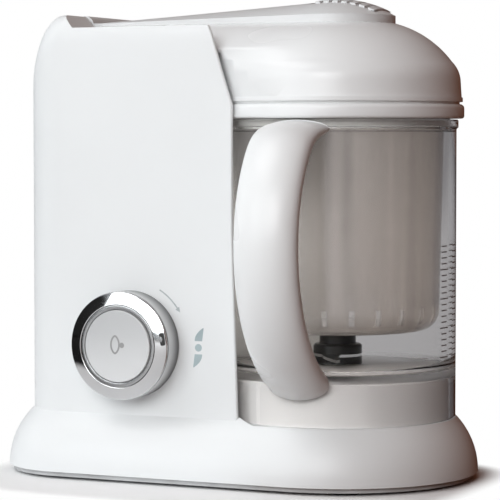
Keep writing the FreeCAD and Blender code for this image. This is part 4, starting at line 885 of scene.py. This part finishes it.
def by_bevel(a, b, height):
    """A place on the knob's bevel, which falls away from the bezel to the rim."""
    share = (math.hypot(a, b) - BEZEL_OUT) / (KNOB_RADIUS - BEZEL_OUT)
    return by_knob(a, b, KNOB_DEPTH - KNOB_BEVEL * share + height)


def print_shape(name, line, place, body, ink):
    """A flat printed shape with a closed outline."""
    count = len(line)
    verts = [place(a, b, PRINT_LOW) for a, b in line]
    verts += [place(a, b, PRINT_HIGH) for a, b in line]
    faces = [tuple(range(count)), tuple(range(count, 2 * count))]
    for index in range(count):
        after = (index + 1) % count
        faces.append((index, after, count + after, count + index))
    made = piece(name, verts, faces)
    made.data.materials.append(ink)
    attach(made, body)


def print_line(name, line, width, place, body, ink, closed=False):
    """A printed line of even width along points on a face."""
    count = len(line)
    points = [Vector(p) for p in line]
    verts = []
    for index, here in enumerate(points):
        before = points[index - 1] if index or closed else here
        after = points[(index + 1) % count] if index < count - 1 or closed else here
        along = (after - before).normalized()
        across = Vector((-along.y, along.x)) * width / 2
        left = here + across
        right = here - across
        for height in (PRINT_LOW, PRINT_HIGH):
            verts.append(place(left.x, left.y, height))
            verts.append(place(right.x, right.y, height))
    faces = []
    for index in range(count if closed else count - 1):
        this = 4 * index
        following = 4 * ((index + 1) % count)
        for a, b in ((0, 1), (1, 3), (3, 2), (2, 0)):
            faces.append((this + a, this + b, following + b, following + a))
    if not closed:
        faces.append((0, 1, 3, 2))
        faces.append(tuple(4 * (count - 1) + i for i in (0, 2, 3, 1)))
    made = piece(name, verts, faces)
    made.data.materials.append(ink)
    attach(made, body)


def arc_points(radius, start, end, steps, centre=(0.0, 0.0)):
    turns = [math.radians(start + (end - start) * i / steps) for i in range(steps + 1)]
    return [(centre[0] + radius * math.cos(t), centre[1] + radius * math.sin(t)) for t in turns]


def circle_points(radius, count, centre):
    return arc_points(radius, 0.0, 360.0 - 360.0 / count, count - 1, centre)


def make_blade_sign():
    """Two curved leaves on either side of a dot, each broad by the dot and pointed away from it."""
    steps = 16
    shares = [step / steps for step in range(steps + 1)]
    right = [(LEAF_HALF + (LEAF_TIP - LEAF_HALF) * t, t) for t in shares]
    sweep = LEAF_TIP - LEAF_TIP_WIDTH + LEAF_HALF
    left = [(-LEAF_HALF + sweep * t ** LEAF_CURVE, t) for t in reversed(shares)]
    for side, name in ((1, "sign_leaf_upper"), (-1, "sign_leaf_lower")):
        line = []
        for a, t in right + left:
            b = LEAF_START + (LEAF_END - LEAF_START) * t
            line.append((SIGN_X + side * a, SIGN_Z + side * b))
        print_shape(name, line, by_knob, "base", sign_ink)
    dot = circle_points(DOT_RADIUS, 24, (SIGN_X, SIGN_Z))
    print_shape("sign_dot", dot, by_knob, "base", sign_ink)


def make_arrow():
    """The arrow that shows which way the knob turns."""
    line = arc_points(ARROW_RADIUS, ARROW_START, ARROW_END, 16)
    print_line("sign_arrow", line, ARROW_WIDTH, by_knob, "base", arrow_ink)
    turn = math.radians(ARROW_END)
    out = Vector((math.cos(turn), math.sin(turn)))
    along = Vector((math.sin(turn), -math.cos(turn)))
    tip = out * ARROW_RADIUS
    head = [tip + along * ARROW_HEAD, tip + out * ARROW_HEAD / 2, tip - out * ARROW_HEAD / 2]
    print_shape("sign_arrow_head", [tuple(p) for p in head], by_knob, "base", arrow_ink)


def make_pointer():
    """The dark mark on the knob's bevel."""
    corners = []
    for a, b in ((1, 1), (-1, 1), (-1, -1), (1, -1)):
        corners.append((a * POINTER_WIDTH / 2, b * POINTER_LENGTH / 2, POINTER_ROUND))
    turn = Matrix.Rotation(math.radians(POINTER_ANGLE), 2)
    line = [turn @ (Vector((POINTER_RADIUS, 0.0)) + point) for point in soften(corners)]
    print_shape("knob_pointer", [tuple(p) for p in line], by_bevel, "knob", pointer_ink)


def make_steam_sign():
    """A puff of steam, drawn as a line, with a small filled puff beside it."""
    line = []
    steps = 40
    for step in range(steps):
        turn = 2 * math.pi * step / steps
        across = math.copysign(abs(math.cos(turn)) ** STEAM_CURVE, math.cos(turn))
        line.append((STEAM_WIDTH / 2 * across + STEAM_X,
                     STEAM_HEIGHT / 2 * math.sin(turn) + STEAM_Z))
    print_line("sign_steam", line, STEAM_LINE, by_button, "button", steam_ink, closed=True)
    puff = circle_points(PUFF_RADIUS, 20, (PUFF_X, PUFF_Z))
    print_shape("sign_steam_puff", puff, by_button, "button", steam_ink)


# Repeats made with Geometry Nodes

class Repeat:
    """A node group that puts one shape on every point, and is then turned into a plain mesh."""

    def __init__(self, name, points):
        mesh = bpy.data.meshes.new(name)
        mesh.from_pydata([tuple(p) for p in points], [], [])
        self.source = put_in_scene(name + "_points", mesh)
        self.name = name
        self.group = bpy.data.node_groups.new(name, "GeometryNodeTree")
        sockets = self.group.interface
        sockets.new_socket("Points", in_out="INPUT", socket_type="NodeSocketGeometry")
        sockets.new_socket("Pieces", in_out="OUTPUT", socket_type="NodeSocketGeometry")
        self.values = {}

    def value(self, name, amount):
        """A named size of the shape."""
        socket = self.group.interface.new_socket(name, in_out="INPUT", socket_type="NodeSocketFloat")
        self.values[socket.identifier] = amount

    def add(self, kind, **settings):
        node = self.group.nodes.new(kind)
        for key, setting in settings.items():
            setattr(node, key, setting)
        return node

    def join(self, source, target):
        self.group.links.new(source, target)

    def begin(self):
        """The points and the named sizes, once all sizes are there."""
        self.input = self.add("NodeGroupInput")
        return self.input.outputs

    def vector(self, *sources):
        node = self.add("ShaderNodeCombineXYZ")
        for socket, source in zip(node.inputs, sources):
            if source is not None:
                self.join(source, socket)
        return node.outputs["Vector"]

    def finish(self, shape, material, rotation=None, scale=None):
        """The shape on every point, as a plain mesh object."""
        spread = self.add("GeometryNodeInstanceOnPoints")
        self.join(self.input.outputs["Points"], spread.inputs["Points"])
        self.join(shape, spread.inputs["Instance"])
        if rotation:
            self.join(rotation, spread.inputs["Rotation"])
        if scale:
            self.join(scale, spread.inputs["Scale"])
        real = self.add("GeometryNodeRealizeInstances")
        coat = self.add("GeometryNodeSetMaterial")
        coat.inputs["Material"].default_value = material
        self.join(spread.outputs["Instances"], real.inputs["Geometry"])
        self.join(real.outputs["Geometry"], coat.inputs["Geometry"])
        self.join(coat.outputs["Geometry"], self.add("NodeGroupOutput").inputs["Pieces"])
        modifier = self.source.modifiers.new("repeat", "NODES")
        modifier.node_group = self.group
        for identifier, amount in self.values.items():
            modifier[identifier] = amount
        graph = bpy.context.evaluated_depsgraph_get()
        mesh = bpy.data.meshes.new_from_object(self.source.evaluated_get(graph))
        bpy.data.objects.remove(self.source)
        return put_in_scene(self.name, mesh)


def make_ticks():
    """Two columns of graduation marks on the jug's right side."""
    count = int((TICK_HIGH - TICK_LOW) / TICK_STEP) + 1
    for number, (angle, width) in enumerate(TICK_COLUMNS, 1):
        spots = [on_jug(angle, WALL_RADIUS, TICK_LOW + TICK_STEP * i) for i in range(count)]
        marks = Repeat("jug_marks_%d" % number, spots)
        marks.value("Width", width * MM)
        marks.value("Height", TICK_LINE * MM)
        marks.value("Thickness", TICK_THICK * MM)
        marks.value("Turn", math.radians(angle))
        marks.value("Every", TICK_EVERY)
        marks.value("Longer", TICK_LONGER)
        given = marks.begin()
        box = marks.add("GeometryNodeMeshCube")
        size = marks.vector(given["Thickness"], given["Width"], given["Height"])
        marks.join(size, box.inputs["Size"])
        left_over = marks.add("ShaderNodeMath", operation="MODULO")
        marks.join(marks.add("GeometryNodeInputIndex").outputs["Index"], left_over.inputs[0])
        marks.join(given["Every"], left_over.inputs[1])
        is_long = marks.add("ShaderNodeMath", operation="LESS_THAN")
        marks.join(left_over.outputs["Value"], is_long.inputs[0])
        is_long.inputs[1].default_value = 0.5
        stretch = marks.add("ShaderNodeMapRange")
        stretch.inputs["To Min"].default_value = 1.0
        marks.join(is_long.outputs["Value"], stretch.inputs["Value"])
        marks.join(given["Longer"], stretch.inputs["To Max"])
        even = marks.add("ShaderNodeValue").outputs["Value"]
        even.default_value = 1.0
        scale = marks.vector(even, stretch.outputs["Result"], even)
        turned = marks.vector(None, None, given["Turn"])
        made = marks.finish(box.outputs["Mesh"], mark_ink, turned, scale)
        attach(made, "jug")


def islands(node):
    """The middle of each separate solid of a CAD node."""
    work = welded(frame["nodes"][node].data, CAD_WELD)
    left = set(work.verts)
    middles = []
    while left:
        group = [left.pop()]
        for vert in group:
            for edge in vert.link_edges:
                other = edge.other_vert(vert)
                if other in left:
                    left.remove(other)
                    group.append(other)
        low = Vector([min(v.co[i] for v in group) for i in range(3)])
        high = Vector([max(v.co[i] for v in group) for i in range(3)])
        middles.append((low + high) / 2)
    work.free()
    return middles


def make_cover_screws():
    """The heads of the screws under the base, each with a cross recess."""
    height = (bottom("cover_screws") + SCREW_HEAD / 2) * MM
    spots = [Vector((spot.x, spot.y, height)) for spot in islands("cover_screws")]
    screws = Repeat("cover_screw_heads", spots)
    screws.value("Radius", SCREW_RADIUS * MM)
    screws.value("Thickness", SCREW_HEAD * MM)
    screws.value("Slot Length", SLOT_LENGTH * MM)
    screws.value("Slot Width", SLOT_WIDTH * MM)
    given = screws.begin()
    disc = screws.add("GeometryNodeMeshCylinder")
    disc.inputs["Vertices"].default_value = SCREW_SIDES
    screws.join(given["Radius"], disc.inputs["Radius"])
    screws.join(given["Thickness"], disc.inputs["Depth"])
    cut = screws.add("GeometryNodeMeshBoolean", operation="DIFFERENCE")
    screws.join(disc.outputs["Mesh"], cut.inputs["Mesh 1"])
    for along, across in (("Slot Length", "Slot Width"), ("Slot Width", "Slot Length")):
        slot = screws.add("GeometryNodeMeshCube")
        size = screws.vector(given[along], given[across], given["Thickness"])
        screws.join(size, slot.inputs["Size"])
        lower = screws.add("GeometryNodeTransform")
        screws.join(slot.outputs["Mesh"], lower.inputs["Geometry"])
        lower.inputs["Translation"].default_value = (0.0, 0.0, -SLOT_DROP * SCREW_HEAD * MM)
        screws.join(lower.outputs["Geometry"], cut.inputs["Mesh 2"])
    made = screws.finish(cut.outputs["Mesh"], screw_zinc)
    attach(made, "base")
    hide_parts("cover_screws")


# Stage

def seen(tree, through):
    """What the camera sees, white or another colour through the jug, and whether it sees it."""
    path = tree.nodes.new("ShaderNodeLightPath")
    straight = smooth(tree, path.outputs["Diffuse Depth"], 1.0, 0.0)
    by_jug = product(tree, path.outputs["Is Transmission Ray"], straight)
    is_seen = number_math(tree, "MAXIMUM", path.outputs["Is Camera Ray"], by_jug)
    return mixed(tree, path.outputs["Is Camera Ray"], through, WHITE), is_seen


def make_floor():
    """Pale paper, which runs out into plain white and gives back less light on the dark side."""
    mesh = bpy.data.meshes.new("floor")
    ends = ((-1, -1), (1, -1), (1, 1), (-1, 1))
    mesh.from_pydata([(a * FLOOR_REACH, b * FLOOR_REACH, 0) for a, b in ends], [], [(0, 1, 2, 3)])
    floor = put_in_scene("floor", mesh)
    made = Finish("floor_paper")
    tree = made.tree
    away = vector_math(tree, "LENGTH", made.coords)
    paper = made.shades(made.noise(2.0), (0.93, 0.93, 0.93), (0.95, 0.95, 0.95))
    unseen = mixed(tree, toward(tree, made.coords, RIGHT, *FLOOR_TURN), FLOOR_LEFT, FLOOR_RIGHT)
    dark_side = toward(tree, made.coords, DARK_SIDE, *DARK_TURN)
    unseen = mixed(tree, product(tree, dark_side, smooth(tree, away, *DARK_AWAY)), unseen, DARK)
    bent = toward(tree, made.coords, RIGHT, *BENT_TURN)
    bent = product(tree, bent, smooth(tree, away, *BENT_AWAY))
    colour, is_seen = seen(tree, mixed(tree, bent, THROUGH_JUG, THROUGH_EDGE))
    made.colour(mixed(tree, is_seen, unseen, paper))
    made.roughness(made.between(made.noise(8.0), 0.85, 0.95))
    made.set(specular_ior_level=0.0)
    glow = made.add("ShaderNodeEmission")
    made.join(colour, glow.inputs["Color"])
    half = (CAD_BOX[1] - CAD_BOX[0]) / 2
    share = vector_math(tree, "DIVIDE", made.coords, (half.x, half.y, 1.0))
    square = vector_math(tree, "MULTIPLY", share, share)
    far = smooth(tree, vector_math(tree, "LENGTH", square), *FLOOR_FADE)
    made.give_way(product(tree, far, is_seen), glow.outputs["Emission"])
    mesh.materials.append(made.material)


def make_room():
    """A bright room on the left and in front, dark and brown on the right, white where it is seen."""
    world = bpy.data.worlds.new("studio")
    bpy.context.scene.world = world
    world.use_nodes = True
    tree = world.node_tree
    coords = tree.nodes.new("ShaderNodeTexCoord").outputs["Generated"]
    room = mixed(tree, toward(tree, coords, RIGHT, *ROOM_TURN), ROOM_LEFT, ROOM_RIGHT)
    room = mixed(tree, toward(tree, coords, DARK_SIDE, *DARK_TURN), room, DARK)
    # Light is bent at the jug's edge, which shows the darker room on the right
    bent = toward(tree, coords, RIGHT, *BENT_TURN)
    colour, is_seen = seen(tree, mixed(tree, bent, THROUGH_JUG, THROUGH_EDGE))
    room = mixed(tree, is_seen, room, colour)
    tree.links.new(room, tree.nodes["Background"].inputs["Color"])


def make_lamp(name, spot, size, power, colour=WHITE, seen_in_chrome=True):
    """A flat lamp of a size in metres and a power in watts, turned to the object."""
    data = bpy.data.lights.new(name, "AREA")
    data.shape = "RECTANGLE"
    data.size = size[0]
    data.size_y = size[1]
    data.energy = power
    data.color = colour
    lamp = put_in_scene(name, data)
    lamp.location = spot
    lamp.rotation_euler = (Vector(LIGHT_AIM) - Vector(spot)).to_track_quat("-Z", "Y").to_euler()
    lamp.visible_glossy = seen_in_chrome


def make_glow():
    """A faint light inside the jug, for what the frosted basket scatters."""
    data = bpy.data.lights.new("jug_glow", "POINT")
    data.energy = 0.11
    data.color = (1.0, 0.98, 0.97)
    data.shadow_soft_size = 0.02
    lamp = put_in_scene("jug_glow", data)
    lamp.location = at(-28.0, 0.0, 120.0)
    lamp.visible_camera = False
    lamp.visible_glossy = False
    lamp.visible_transmission = False


def make_light():
    bpy.context.scene.view_settings.view_transform = "Standard"
    make_room()
    make_lamp("window", spot=(-0.5, -2.3, 0.95), size=(2.2, 1.5), power=25.0, colour=(0.94, 0.985, 1.0))
    make_lamp("lamp_by_camera", spot=(0.5, -2.1, 1.0), size=(1.0, 1.0), power=13.0)
    make_lamp("ceiling", spot=(-0.6, -0.8, 1.6), size=(1.0, 0.8), power=7.0)
    make_lamp("left_fill", spot=(-2.2, -0.7, 0.9), size=(1.0, 1.0), power=15.0, seen_in_chrome=False)
    make_glow()


def make_camera():
    data = bpy.data.cameras.new("photo_camera")
    data.sensor_width = SENSOR
    data.lens = PHOTO_LENS
    data.clip_start = 0.05
    camera = put_in_scene("photo_camera", data)
    camera.location = at(*CAMERA_SPOT, CAMERA_HEIGHT)
    camera.rotation_euler = (math.radians(90.0 - PHOTO_PITCH), 0.0, math.radians(PHOTO_AZIMUTH))
    bpy.context.scene.camera = camera


dress_cad_nodes()
make_shells()
make_jug()
make_handle()
make_lid_ring()
make_knob()
make_hub()
make_button_spring()
make_blade_sign()
make_arrow()
make_pointer()
make_steam_sign()
make_ticks()
make_cover_screws()
make_floor()
make_light()
make_camera()
